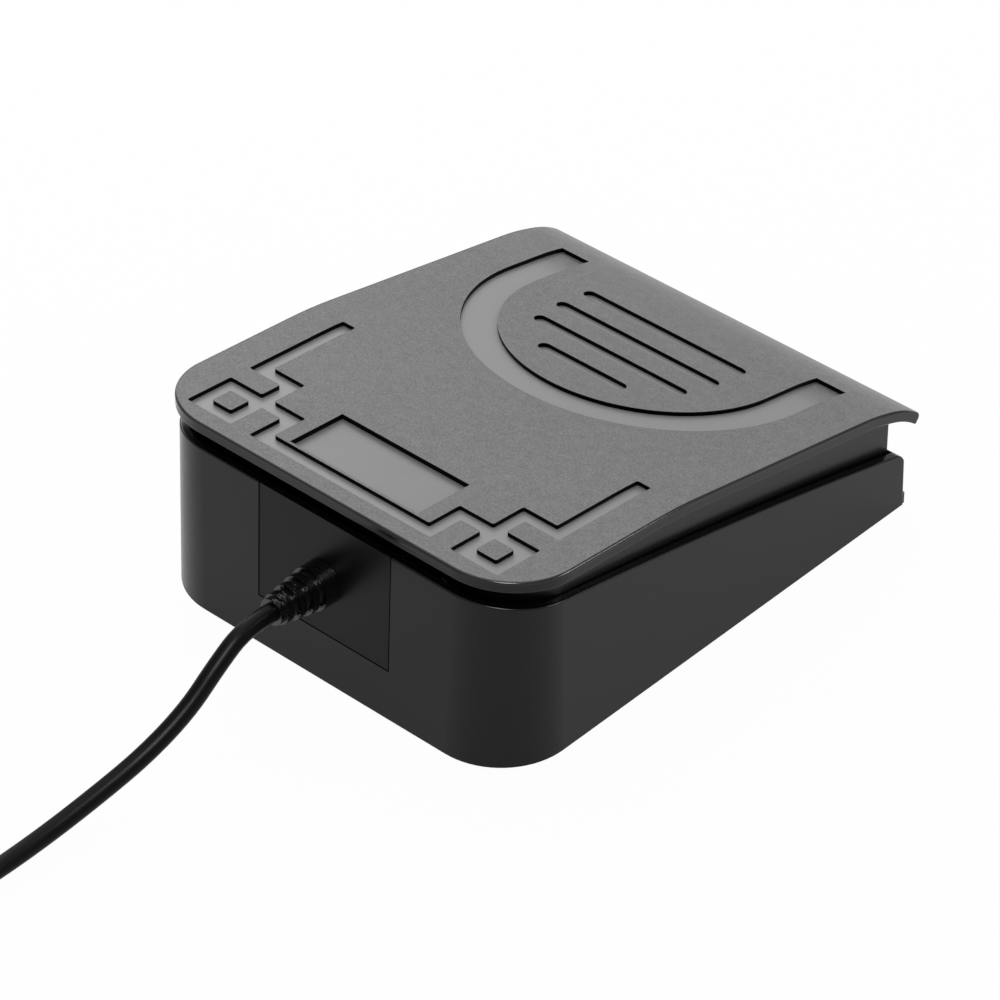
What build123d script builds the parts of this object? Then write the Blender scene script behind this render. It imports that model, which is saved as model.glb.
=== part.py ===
from build123d import *
from math import atan, cos, degrees, pi, radians, sin, sqrt, tan
import os

os.makedirs("parts", exist_ok=True)

# A USB foot pedal switch. Lengths in millimetres, angles in degrees.
# +Z is up, +Y is the cable end, -Y is the low end that the toe presses.

# Shared clearances
seat_gap = 0.05
part_gap = 0.3
overrun = 5.0

# Housing
foot_stand = 0.8
shell_width = 100.0
shell_depth = 123.6
shell_wall = 2.0
shell_rear_radius = 16.4
shell_front_radius = 0.5
side_draft = 1.09
rear_draft = 2.93
front_draft = 0.8
shell_rear_height = 39.8
shell_front_height = 13.1
rim_crown = 1.55
shell_mid_height = (shell_rear_height + shell_front_height) / 2 + rim_crown
shell_front_round = 4.0
rim_round = 0.35
toe_ridge_reach = 0.7
toe_ridge_height = 2.8

# Tread plate
plate_side_overhang = 0.5
plate_width = shell_width + 2 * plate_side_overhang
plate_setback = 1.76
plate_lift = 6.2
plate_height = shell_rear_height + plate_lift
plate_thickness = 2.55
plate_corner_radius = 15.9
plate_edge_round = 0.45
plate_under_round = 0.3
rear_slope = 5.35
lip_slope = 20.5
tip_slope = 38.0
kink_setback = 47.84
lip_inset = 12.2
lip_setback = shell_depth - lip_inset
tip_inset = 2.6
tip_setback = shell_depth - tip_inset
lip_overhang = 3.05
lip_lift = 15.81
lip_height = shell_front_height + lip_lift
kink_height = plate_height - kink_setback * tan(radians(rear_slope))
front_slope = degrees(atan((kink_height - lip_height) / (lip_setback - kink_setback)))
kink_radius = 117.0
lip_bend_share = 0.4909
lip_run = (tip_setback - lip_setback) / cos(radians(lip_slope))
lip_radius = lip_bend_share * lip_run / tan(radians((lip_slope - front_slope) / 2))
tip_radius = 27.0
tip_round = 1.2

# Relief on the tread plate
channel_width = 3.52
channel_land = 5.24
channel_corner = 0.45
fret_side_margin = 8.5
fret_rear_margin = 4.39
fret_leg_end_setback = 49.1
relief_depth = 1.0
window_width = 34.6
window_depth = 14.8
window_setback = 16.0
window_sink = 1.2
arch_outer_radius = 39.3
arch_inner_radius = 31.55
arch_inset = 26.6
arch_setback = shell_depth - arch_inset
arch_leg = 16.9
groove_width = 3.0
groove_pitch = 8.6
groove_count = 4
groove_margin = 7.5
groove_first_inset = 47.6
groove_first_setback = shell_depth - groove_first_inset
groove_max_half = 22.0

# Pedal frame
frame_side_gap = 2.7
frame_half_width = shell_width / 2 - frame_side_gap
frame_rear_setback = 4.6
frame_front_inset = 3.3
frame_corner_radius = 12.6
frame_wall = 1.8
deck_thickness = 1.6
skirt_overlap = 6.0
skirt_front_overlap = 3.4

# Hinge
pedal_travel = 3.5
hinge_setback = 13.8
hinge_drop = 6.8
hinge_height = shell_rear_height - hinge_drop
axle_radius = 1.5
axle_running_gap = 0.05
web_inset = 16.8
web_centre = frame_half_width - web_inset
web_thickness = 3.0
lug_thickness = 3.2
eye_radius = 4.0
clip_thickness = 0.6
clip_radius = 3.0
axle_end = 0.8
groove_sink = 0.3

# Bottom cover
cover_thickness = 2.2
cover_gap = 0.25
boss_radius = 3.4
boss_inset = 3.9
rear_boss_setback = 16.0
front_boss_inset = 41.6
front_boss_setback = shell_depth - front_boss_inset
boss_height = 9.0
screw_radius = 1.3
screw_length = 7.5
screw_head_radius = 2.6
screw_head_height = 1.2
foot_radius = 6.0
foot_sink = 1.0
foot_edge = 0.4
foot_side_margin = 14.0
foot_x = shell_width / 2 - foot_side_margin
foot_rear_setback = 24.0
foot_front_inset = 13.6
foot_front_setback = shell_depth - foot_front_inset

# Bosses and screws that hold the plate to the frame
plate_boss_radius = 3.0
plate_boss_gap = 0.2
plate_boss_rear_x = 30.0
plate_boss_rear_setback = 34.0
plate_boss_front_x = 26.8
plate_boss_front_inset = 30.6
plate_boss_front_setback = shell_depth - plate_boss_front_inset
plate_screw_radius = 1.3
plate_screw_length = 2.6
plate_screw_head_radius = 4.0
plate_screw_head_height = 1.2

# Ribs under the pedal frame's deck
rib_place = 14.0
rib_thickness = 1.4
rib_height = 3.0
rib_rear_setback = 30.0
rib_front_inset = 21.6

# Springs and stops
spring_x = 26.0
spring_inset = 42.6
spring_setback = shell_depth - spring_inset
rib_middle_shift = 0.5
rib_middle_setback = (rib_rear_setback + spring_setback) / 2 + rib_middle_shift
rib_setbacks = (rib_rear_setback, rib_middle_setback, shell_depth - rib_front_inset)
spring_radius = 4.4
spring_wire = 1.1
spring_turns = 7
spring_seat_height = 3.0
spring_seat_radius = 6.4
spigot_gap = 0.5
spigot_height = 3.0
stop_x = 26.0
stop_inset = 14.6
stop_setback = shell_depth - stop_inset
stop_pad_radius = 3.2
stop_pad_level = 14.0
stop_radius = 4.2
stop_thickness = 3.2

# Cable face insert and strain relief
panel_half_width = 18.07
panel_seam = 0.3
panel_bottom = 11.7
panel_flange = 2.4
panel_flange_thickness = 1.2
panel_guide = 1.5
cable_radius = 2.0
relief_height = 24.6
relief_root_radius = 4.9
relief_collar_radius = 4.8
relief_collar = 4.1
relief_tip_radius = 2.9
relief_rib_pitch = 3.05
relief_ribs = 3
relief_tip = 1.4
relief_groove = 1.2
relief_groove_depth = 0.8
relief_neck_radius = 3.6
relief_flange_radius = 5.3
relief_flange = 2.0

# Switch
switch_length = 27.8
switch_width = 10.3
switch_height = 15.9
switch_setback = 55.325
switch_level = 8.6
switch_cap_share = 0.45
switch_hole_radius = 1.5
switch_hole_spacing = 22.2
switch_hole_height = 3.0
bracket_thickness = 2.5
lever_pivot_setback = 2.9
lever_lift = 0.7
lever_thickness = 0.5
lever_width = 4.6
lever_length = 22.5
lever_angle = 9.0
lever_pin_radius = 0.6
lever_barrel_radius = 1.0
lever_ear = 0.9
contact_reach = 20.0
plunger_reach = 4.5
plunger_radius = 0.9
plunger_dome = 0.6
plunger_sink = 4.0
nose_radius = 2.0
nose_width = 6.0
nose_gap = 0.25
terminal_width = 3.2
terminal_thickness = 0.6
terminal_length = 4.4

# Circuit board
board_thickness = 1.6
board_side_margin = 10.0
board_centre_gap = 6.0
board_width = shell_width / 2 - board_side_margin - board_centre_gap
board_depth = 28.0
board_setback = 26.325
board_stand = 3.0
board_hole_inset = 3.2
standoff_radius = 2.6
board_screw_radius = 1.0
board_screw_head_radius = 1.9
board_screw_length = 3.6
chip_length = 9.9
chip_width = 3.9
chip_height = 1.5
lead_pitch = 1.27
lead_count = 8
lead_width = 0.42
lead_reach = 1.0
lead_thickness = 0.2
crystal_length = 11.0
crystal_width = 4.6
crystal_height = 3.4
small_part_length = 2.0
small_part_width = 1.25
small_part_height = 0.9
small_part_header_gap = 1.48
small_part_edge_gap = 1.72
small_part_screw_gap = 0.02
small_part_pitch = 4.08
crystal_screw_gap = 2.15
header_depth = 5.0
header_height = 6.0
pin_pitch = 2.0
plug_depth = 5.0
plug_height = 4.6

# Wires inside
wire_radius = 0.55
clamp_thickness = 2.0
clamp_length = 3.6
clamp_screw_x = 6.0
clamp_setback = 2.2

# Put-away cable
coil_radius = 29.4
coil_pitch = 5.35
layer_height = 5.0
coil_layers = 4
layer_half_turns = 6
tie_thickness = 0.9
tie_width = 5.0
top_bend_radius = 13.0

# USB plug
grip_width = 15.4
grip_height = 7.8
grip_length = 25.0
grip_round = 1.6
grip_neck_length = 7.0
grip_neck_radius = 3.2
plug_shell_width = 12.0
plug_shell_height = 4.5
plug_shell_length = 11.75
plug_shell_wall = 0.3
tongue_width = 11.1
tongue_height = 1.84
contact_width = 1.0
contact_pitch = 2.25
contact_thickness = 0.2

# The routes below were chosen by hand with the cable face at this place, and they move with it
route_rear_y = 63.325

# The cable's free route, from the strain relief's tip to the coil
cable_route = [
    (0.0, 84.0, 26.5),
    (-0.2, 92.0, 22.1),
    (-0.1, 100.0, 16.0),
    (1.0, 110.5, 10.7),
    (2.5, 122.5, 7.0),
    (4.1, 136.5, 3.7),
    (5.1, 151.0, 2.3),
    (5.5, 162.0, 3.2),
]

# Share of the shorter neighbouring run that each bend of a cord takes up
bend_share = 0.45

# The jacket's route inside the housing, from the strain relief to the clamp and its stripped end
inner_route = [
    (0.0, 52.0, 24.85),
    (3.0, 48.5, 19.0),
    (7.5, 46.0, 12.0),
    (11.0, 43.0, 5.15),
    (11.0, 35.0, 5.15),
]

# Places that follow from those sizes
overall_depth = shell_depth + lip_overhang
rear_y = overall_depth / 2
front_y = rear_y - shell_depth
middle_y = rear_y - shell_depth / 2
base_z = foot_stand
floor_z = base_z + cover_thickness
plate_rear_y = rear_y - plate_setback
cable_route = [(x, y + rear_y - route_rear_y, z) for x, y, z in cable_route]
inner_route = [(x, y + rear_y - route_rear_y, z) for x, y, z in inner_route]
board_x = -(board_centre_gap + board_width / 2)
board_y = rear_y - board_setback
switch_y = rear_y - switch_setback
clamp_y = inner_route[-1][1] + clamp_setback
hinge_y = rear_y - hinge_setback
hinge_z = base_z + hinge_height
board_z = floor_z + board_stand
board_top = board_z + board_thickness
tall = plate_height + overrun
tip_corner_share = cos(radians(tip_slope)) + sin(radians(tip_slope)) - 1

rear_plane = Plane(
    origin=(0, rear_y, base_z),
    x_dir=(-1, 0, 0),
    z_dir=(0, cos(radians(rear_draft)), sin(radians(rear_draft))),
)


def shell_outline(level, inset):
    """The housing's plan at a level, drawn in by an inset, with corners that taper."""
    half_width = shell_width / 2 - tan(radians(side_draft)) * level - inset
    back = rear_y - tan(radians(rear_draft)) * level - inset / cos(radians(rear_draft))
    front = front_y + tan(radians(front_draft)) * level + inset
    with BuildSketch(Plane.XY.offset(base_z + level)) as outline:
        with Locations((0, (back + front) / 2)):
            Rectangle(2 * half_width, back - front)
        taper = tan(radians((side_draft + rear_draft) / 2)) * level
        fillet(outline.vertices().group_by(Axis.Y)[-1], shell_rear_radius - inset - taper)
        if shell_front_radius > inset:
            fillet(outline.vertices().group_by(Axis.Y)[0], shell_front_radius - inset)
    return outline.sketch


def rim_profile(drop, front_round):
    """Side view of everything under the housing's sloping top edge, lowered by a drop."""
    back = rear_y + overrun
    with BuildSketch(Plane.YZ) as profile:
        with BuildLine():
            rim = ThreePointArc(
                (rear_y, base_z + shell_rear_height - drop),
                (middle_y, base_z + shell_mid_height - drop),
                (front_y, base_z + shell_front_height - drop),
            )
            Polyline(
                rim @ 1,
                (front_y, -overrun),
                (back, -overrun),
                (back, (rim @ 0).Y + (rim % 0).Y / (rim % 0).X * overrun),
                rim @ 0,
            )
        make_face()
        if front_round:
            fillet(profile.vertices().group_by(Axis.X)[0].sort_by(Axis.Y)[-1], front_round)
    return profile.sketch


def tread_corners(depth):
    """Corners of the tread's side view at a depth under its top face, rear to tip."""
    slopes = [rear_slope, front_slope, lip_slope, tip_slope]
    stations = [
        -overrun,
        kink_setback,
        lip_setback,
        tip_setback,
        plate_rear_y - front_y + lip_overhang + tip_round * tip_corner_share,
    ]
    y = plate_rear_y + overrun
    z = base_z + plate_height + overrun * tan(radians(rear_slope))
    corners = [(y, z)]
    for slope, start, end in zip(slopes, stations, stations[1:]):
        y -= end - start
        z -= (end - start) * tan(radians(slope))
        corners.append((y, z))
    lean = [slopes[0]] + [(a + b) / 2 for a, b in zip(slopes, slopes[1:])] + [slopes[-1]]
    turn = [0] + [(b - a) / 2 for a, b in zip(slopes, slopes[1:])] + [0]
    shifted = []
    for (y, z), angle, half in zip(corners, lean, turn):
        reach = depth / cos(radians(half))
        shifted.append((y + reach * sin(radians(angle)), z - reach * cos(radians(angle))))
    return shifted


def tread_slab(upper, lower):
    """Side view of the layer between two depths under the tread's top face."""
    radii = [kink_radius, lip_radius, tip_radius]
    with BuildSketch(Plane.YZ) as slab:
        with BuildLine():
            top = FilletPolyline(*tread_corners(upper), radius=[r - upper for r in radii])
            under = FilletPolyline(*tread_corners(lower), radius=[r - lower for r in radii])
            Line(top @ 0, under @ 0)
            Line(top @ 1, under @ 1)
        make_face()
    return slab.sketch


def under_tread(depth):
    """Side view of everything deeper than a depth under the tread's top face."""
    with BuildSketch(Plane.YZ) as profile:
        with BuildLine():
            line = FilletPolyline(
                *tread_corners(depth), radius=[r - depth for r in (kink_radius, lip_radius, tip_radius)]
            )
            Polyline(line @ 0, ((line @ 0).X, -overrun), ((line @ 1).X, -overrun), line @ 1)
        make_face()
    return profile.sketch


def tread_plane(setback, depth, x=0):
    """A plane at a depth under the tread's top face, looking down square to it."""
    slope = rear_slope if setback < kink_setback else front_slope
    kink_drop = kink_setback * tan(radians(rear_slope))
    if setback < kink_setback:
        drop = setback * tan(radians(rear_slope))
    else:
        drop = kink_drop + (setback - kink_setback) * tan(radians(front_slope))
    normal = (0, sin(radians(slope)), -cos(radians(slope)))
    top = Vector(x, plate_rear_y - setback, base_z + plate_height - drop)
    return Plane(origin=top + Vector(*normal) * depth, x_dir=(1, 0, 0), z_dir=normal)


def frame_outline(inset):
    """The pedal frame's plan, drawn in by an inset."""
    back = plate_rear_y - frame_rear_setback - inset
    front = front_y + frame_front_inset + inset
    with BuildSketch(Plane.XY) as outline:
        with Locations((0, (back + front) / 2)):
            Rectangle(2 * (frame_half_width - inset), back - front)
        fillet(outline.vertices().group_by(Axis.Y)[-1], frame_corner_radius - inset)
    return outline.sketch


def tube(points, radius):
    """A round cord along straight runs that tangent arcs join, and its bend radii."""
    runs = [(Vector(*b) - Vector(*a)) for a, b in zip(points, points[1:])]
    radii = []
    for before, after in zip(runs, runs[1:]):
        half_turn = radians(before.get_angle(after)) / 2
        radii.append(bend_share * min(before.length, after.length) / tan(half_turn))
    with BuildPart() as cord:
        with BuildLine() as path:
            FilletPolyline(*points, radius=radii)
        with BuildSketch(Plane(origin=path.line @ 0, z_dir=path.line % 0)):
            Circle(radius)
        sweep()
    length = path.wire().length
    share = cord.part.volume / (pi * radius**2 * length)
    print(f"tube length {length:.1f}, volume share {share:.4f}, radii {[round(r, 1) for r in radii]}")
    return cord.part


def finish(part, label):
    """Name a finished piece and write it."""
    part.label = label
    export_step(part, f"parts/{label}.step")


def screw(plane, length, radius, head_radius, head_height):
    """A pan-head screw whose head sits on the plane and whose shank goes along its normal."""
    with BuildPart() as body:
        with BuildSketch(plane):
            Circle(head_radius)
        extrude(amount=-head_height)
        with BuildSketch(plane):
            Circle(radius)
        extrude(amount=length)
        with BuildSketch(plane.offset(-head_height)):
            Rectangle(head_radius, head_radius / 4)
            Rectangle(head_radius / 4, head_radius)
        extrude(amount=head_height / 2, mode=Mode.SUBTRACT)
    return body.part


# Housing shell
web_top = base_z + hinge_height + eye_radius
with BuildPart() as base_shell:
    loft([shell_outline(0, 0), shell_outline(tall, 0)], ruled=True)
    loft([shell_outline(0, shell_wall), shell_outline(tall, shell_wall)], ruled=True, mode=Mode.SUBTRACT)
    extrude(rim_profile(0, shell_front_round), amount=shell_width, both=True, mode=Mode.INTERSECT)
    rim_face = base_shell.faces().filter_by(GeomType.CYLINDER).sort_by(SortBy.AREA)[-1]
    fillet(rim_face.outer_wire().edges(), rim_round)
    # Ridge along the foot of the low end
    with BuildPart(mode=Mode.PRIVATE) as toe_ridge:
        with BuildSketch(Plane.XY.offset(base_z)):
            with Locations((0, front_y - toe_ridge_reach / 2 + shell_wall / 4)):
                RectangleRounded(
                    shell_width - shell_front_radius,
                    toe_ridge_reach + shell_wall / 2,
                    toe_ridge_reach / 2,
                )
        extrude(amount=toe_ridge_height)
        chamfer(toe_ridge.faces().sort_by(Axis.Z)[-1].edges(), toe_ridge_reach / 3)
    add(toe_ridge.part)
    # Webs that carry the hinge axle
    web_foot = rear_y - shell_wall - tan(radians(rear_draft)) * hinge_height / 2
    for side in (-1, 1):
        with BuildSketch(Plane.YZ.offset(side * web_centre)) as web:
            with BuildLine():
                Polyline(
                    (web_foot, base_z + hinge_height / 3),
                    (rear_y - shell_wall, web_top),
                    (hinge_y, web_top),
                    (hinge_y - eye_radius, hinge_z),
                    (hinge_y - eye_radius, hinge_z - eye_radius),
                    close=True,
                )
            make_face()
            with Locations((hinge_y, hinge_z)):
                Circle(eye_radius)
                Circle(axle_radius + seat_gap, mode=Mode.SUBTRACT)
        extrude(amount=web_thickness / 2, both=True)
    # Screw bosses on the side walls
    for setback in (rear_boss_setback, front_boss_setback):
        for side in (-1, 1):
            boss_x = side * (shell_width / 2 - shell_wall - boss_inset)
            with BuildSketch(Plane.XY.offset(floor_z)):
                with Locations((boss_x, rear_y - setback)):
                    Circle(boss_radius)
                with Locations((boss_x + side * boss_inset / 2, rear_y - setback)):
                    Rectangle(boss_inset + shell_wall / 4, boss_radius)
            extrude(amount=boss_height)
            with BuildSketch(Plane.XY.offset(floor_z)):
                with Locations((boss_x, rear_y - setback)):
                    Circle(screw_radius + seat_gap)
            extrude(amount=screw_length, mode=Mode.SUBTRACT)
    # Slot for the insert in the cable face, and the guides beside it
    with BuildSketch(rear_plane):
        with Locations((0, panel_bottom + tall / 2)):
            Rectangle(2 * panel_half_width, tall)
    extrude(amount=overrun, both=True, mode=Mode.SUBTRACT)
    guide_x = panel_half_width + panel_flange + part_gap + panel_guide / 2
    guide_height = shell_rear_height - skirt_overlap - panel_bottom - part_gap
    with BuildSketch(rear_plane.offset(-shell_wall)):
        with Locations(*[(side * guide_x, panel_bottom + guide_height / 2) for side in (-1, 1)]):
            Rectangle(panel_guide, guide_height)
    extrude(amount=-2 * panel_flange_thickness)
finish(base_shell.part, "base_shell")

# Insert that closes the cable face
panel_flange_height = shell_rear_height - skirt_overlap - panel_bottom
with BuildPart() as cable_panel:
    with BuildSketch(rear_plane.offset(-seat_gap)):
        with Locations((0, panel_bottom + panel_seam + tall / 2)):
            Rectangle(2 * (panel_half_width - panel_seam), tall)
    extrude(amount=-(shell_wall - seat_gap))
    extrude(rim_profile(seat_gap, 0), amount=shell_width, both=True, mode=Mode.INTERSECT)
    with BuildSketch(rear_plane.offset(-shell_wall)):
        with Locations((0, panel_bottom + (panel_flange_height - panel_flange) / 2)):
            Rectangle(2 * (panel_half_width + panel_flange), panel_flange_height + panel_flange)
    extrude(amount=-panel_flange_thickness)
    with BuildSketch(rear_plane.offset(overrun)):
        with Locations((0, relief_height)):
            Circle(relief_neck_radius + seat_gap)
    extrude(amount=-4 * overrun, mode=Mode.SUBTRACT)
finish(cable_panel.part, "cable_panel")

# Ribbed strain relief through the insert
relief_centre = rear_plane.from_local_coords(Vector(0, relief_height, 0))
relief_plane = Plane(origin=relief_centre, x_dir=(1, 0, 0), z_dir=rear_plane.z_dir)
relief_inner = -(shell_wall + panel_flange_thickness)
relief_length = relief_collar + relief_ribs * relief_rib_pitch + relief_tip
with BuildPart() as strain_relief:
    with BuildSketch(relief_plane):
        Circle(relief_root_radius)
    with BuildSketch(relief_plane.offset(relief_collar)):
        Circle(relief_collar_radius)
    loft(ruled=True)
    rib_start = relief_collar
    for rib in range(relief_ribs):
        step_share = (rib + 1) / (relief_ribs + 1)
        rib_radius = relief_collar_radius + (relief_tip_radius - relief_collar_radius) * step_share
        with BuildSketch(relief_plane.offset(rib_start)):
            Circle(rib_radius - relief_groove_depth)
        extrude(amount=relief_rib_pitch)
        with BuildSketch(relief_plane.offset(rib_start + relief_groove)):
            Circle(rib_radius)
        extrude(amount=relief_rib_pitch - relief_groove)
        rib_start += relief_rib_pitch
    with BuildSketch(relief_plane.offset(rib_start)):
        Circle(relief_tip_radius)
    extrude(amount=relief_tip)
    with BuildSketch(relief_plane):
        Circle(relief_neck_radius)
    extrude(amount=relief_inner)
    with BuildSketch(relief_plane.offset(relief_inner)):
        Circle(relief_flange_radius)
    extrude(amount=-relief_flange)
finish(strain_relief.part, "strain_relief")

# Bottom cover with its standoffs, seats and switch bracket
screw_places = [
    (side * (shell_width / 2 - shell_wall - boss_inset), rear_y - setback)
    for setback in (rear_boss_setback, front_boss_setback)
    for side in (-1, 1)
]
foot_places = [
    (side * foot_x, rear_y - setback)
    for setback in (foot_rear_setback, foot_front_setback)
    for side in (-1, 1)
]
hole_x = board_width / 2 - board_hole_inset
hole_y = board_depth / 2 - board_hole_inset
board_holes = [
    (board_x + side * hole_x, board_y + end * hole_y)
    for side, end in ((-1, -1), (-1, 1), (1, 1))
]
spring_places = [(side * spring_x, rear_y - spring_setback) for side in (-1, 1)]
stop_places = [(side * stop_x, rear_y - stop_setback) for side in (-1, 1)]
stop_arm = rear_y - stop_setback - hinge_y
stop_pad_z = base_z + stop_pad_level
stop_pressed = (
    hinge_z
    + (stop_arm - stop_pad_radius) * sin(radians(pedal_travel))
    + (stop_pad_z - hinge_z) * cos(radians(pedal_travel))
)
stop_top = stop_pressed - part_gap
stop_post_top = stop_top - stop_thickness
clamp_x = inner_route[-2][0]
clamp_places = [(clamp_x - clamp_screw_x, clamp_y), (clamp_x + clamp_screw_x, clamp_y)]
clamp_boss_height = inner_route[-1][2] + cable_radius + seat_gap - floor_z
switch_bottom = base_z + switch_level
switch_holes = [
    (switch_y + end * switch_hole_spacing / 2, switch_bottom + switch_hole_height) for end in (-1, 1)
]
with BuildPart() as bottom_cover:
    extrude(shell_outline(0, shell_wall + cover_gap), amount=cover_thickness)
    with BuildSketch(Plane.XY.offset(floor_z)):
        with Locations(*board_holes):
            Circle(standoff_radius)
    extrude(amount=board_stand)
    with BuildSketch(Plane.XY.offset(floor_z)):
        with Locations(*spring_places):
            Circle(spring_seat_radius)
    extrude(amount=spring_seat_height)
    with BuildSketch(Plane.XY.offset(floor_z + spring_seat_height)):
        with Locations(*spring_places):
            Circle(spring_radius - spring_wire - spigot_gap)
    extrude(amount=spigot_height)
    with BuildSketch(Plane.XY.offset(floor_z)):
        with Locations(*stop_places):
            Circle(stop_radius + shell_wall / 2)
    extrude(amount=stop_post_top - floor_z)
    with BuildSketch(Plane.XY.offset(floor_z)):
        with Locations(*clamp_places):
            Circle(standoff_radius)
    extrude(amount=clamp_boss_height)
    bracket_x = switch_width / 2 + seat_gap
    with BuildSketch(Plane.YZ.offset(bracket_x)):
        with Locations((switch_y, (floor_z + switch_bottom + switch_height / 2) / 2)):
            Rectangle(switch_length, switch_bottom + switch_height / 2 - floor_z)
        with Locations(*switch_holes):
            Circle(screw_radius + seat_gap, mode=Mode.SUBTRACT)
    extrude(amount=bracket_thickness)
    for end in (-1, 1):
        with BuildSketch(Plane.XZ.offset(-(switch_y + end * (switch_length / 2 - bracket_thickness)))):
            with BuildLine():
                Polyline(
                    (bracket_x + bracket_thickness, floor_z),
                    (bracket_x + 2 * bracket_thickness, floor_z),
                    (bracket_x + bracket_thickness, floor_z + bracket_thickness * 2),
                    close=True,
                )
            make_face()
        extrude(amount=bracket_thickness / 4, both=True)
    with BuildSketch(Plane.XY.offset(base_z)):
        with Locations(*foot_places):
            Circle(foot_radius + seat_gap)
    extrude(amount=foot_sink, mode=Mode.SUBTRACT)
    with BuildSketch(Plane.XY.offset(base_z)):
        with Locations(*screw_places):
            Circle(screw_head_radius + seat_gap)
    extrude(amount=screw_head_height, mode=Mode.SUBTRACT)
    with BuildSketch(Plane.XY.offset(base_z)):
        with Locations(*screw_places):
            Circle(screw_radius + seat_gap)
    extrude(amount=cover_thickness, mode=Mode.SUBTRACT)
    with BuildSketch(Plane.XY.offset(board_z)):
        with Locations(*board_holes):
            Circle(board_screw_radius + seat_gap)
    extrude(amount=-board_stand, mode=Mode.SUBTRACT)
    with BuildSketch(Plane.XY.offset(floor_z + clamp_boss_height)):
        with Locations(*clamp_places):
            Circle(board_screw_radius + seat_gap)
    extrude(amount=-board_stand, mode=Mode.SUBTRACT)
finish(bottom_cover.part, "bottom_cover")

# Screws up through the cover into the housing's bosses
cover_screws = [
    screw(
        Plane(origin=(x, y, base_z + screw_head_height)),
        screw_length,
        screw_radius,
        screw_head_radius,
        screw_head_height,
    )
    for x, y in screw_places
]
finish(Compound(children=cover_screws), "cover_screws")

# Rubber feet
foot_names = ["rear_left_foot", "rear_right_foot", "front_left_foot", "front_right_foot"]
for name, (x, y) in zip(foot_names, foot_places):
    with BuildPart() as foot:
        with BuildSketch(Plane(origin=(x, y, 0))):
            Circle(foot_radius)
        extrude(amount=foot_stand + foot_sink)
        chamfer(foot.faces().sort_by(Axis.Z)[0].edges(), foot_edge)
    finish(foot.part, name)

# Tread plate
half_plate = plate_width / 2


def cell_span(cell, edge):
    """Low and high ends of a fret band, counted inwards from the fret's outer edge."""
    outer = edge - cell * (channel_width + channel_land)
    return outer - channel_width, outer


def fret_run(side, first, last):
    """One straight fret channel, from one cell of the fret's grid to another."""
    columns = [cell_span(column, half_plate - fret_side_margin) for column, row in (first, last)]
    rows = [cell_span(row, plate_rear_y - fret_rear_margin) for column, row in (first, last)]
    low_x, high_x = min(c[0] for c in columns), max(c[1] for c in columns)
    low_y, high_y = min(r[0] for r in rows), max(r[1] for r in rows)
    with Locations((side * (low_x + high_x) / 2, (low_y + high_y) / 2)):
        Rectangle(high_x - low_x, high_y - low_y)


fret_runs = [
    ((0, 0), (1, 0)),
    ((1, 0), (1, 1)),
    ((1, 1), (0, 1)),
    ((0, 1), (0, 0)),
    ((1, 1), (2, 1)),
    ((2, 1), (2, 0)),
    ((1, 1), (1, 2)),
    ((1, 2), (0, 2)),
]
leg_cell_rows = 2
with BuildSketch(Plane.XY) as fret_sketch:
    for side in (-1, 1):
        for first, last in fret_runs:
            fret_run(side, first, last)
        leg_low, leg_high = cell_span(0, half_plate - fret_side_margin)
        leg_top = cell_span(leg_cell_rows, plate_rear_y - fret_rear_margin)[1]
        leg_end = plate_rear_y - fret_leg_end_setback
        with Locations((side * (leg_low + leg_high) / 2, (leg_top + leg_end) / 2)):
            Rectangle(channel_width, leg_top - leg_end)
    bar_low, bar_high = cell_span(0, plate_rear_y - fret_rear_margin)
    bar_reach = cell_span(leg_cell_rows, half_plate - fret_side_margin)[1]
    with Locations((0, (bar_low + bar_high) / 2)):
        Rectangle(2 * bar_reach, channel_width)
    fillet(fret_sketch.vertices(), channel_corner)

arch_y = plate_rear_y - arch_setback
with BuildSketch(Plane.XY) as arch_sketch:
    with Locations((0, arch_y)):
        Circle(arch_outer_radius)
    with Locations((0, arch_y - arch_outer_radius)):
        Rectangle(2 * arch_outer_radius, 2 * arch_outer_radius, mode=Mode.SUBTRACT)
    with Locations((0, arch_y - arch_leg / 2)):
        Rectangle(2 * arch_outer_radius, arch_leg)
        Rectangle(2 * arch_inner_radius, arch_leg, mode=Mode.SUBTRACT)
    with Locations((0, arch_y)):
        Circle(arch_inner_radius, mode=Mode.SUBTRACT)

# Plain grip grooves inside the arch
with BuildSketch(Plane.XY) as groove_sketch:
    for row in range(groove_count):
        groove_y = plate_rear_y - groove_first_setback - row * groove_pitch
        rise = max(groove_y - arch_y, 0)
        room = sqrt((arch_inner_radius - groove_margin) ** 2 - rise**2)
        with Locations((0, groove_y)):
            SlotOverall(2 * min(room, groove_max_half), groove_width)

with BuildSketch(Plane.XY) as window_sketch:
    with Locations((0, plate_rear_y - window_setback)):
        Rectangle(window_width, window_depth)


def relief_cutter(sketch, depth):
    """What a relief of a plan and a depth takes out of the tread's top face."""
    with BuildPart() as cutter:
        extrude(sketch, amount=plate_height + 2 * overrun)
        extrude(tread_slab(-overrun, depth), amount=plate_width, both=True, mode=Mode.INTERSECT)
    return cutter.part


plate_boss_places = [
    (plate_boss_rear_setback, plate_boss_rear_x),
    (plate_boss_front_setback, plate_boss_front_x),
]
plate_boss_planes = [
    tread_plane(setback, plate_thickness, side * x)
    for setback, x in plate_boss_places
    for side in (-1, 1)
]

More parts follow.
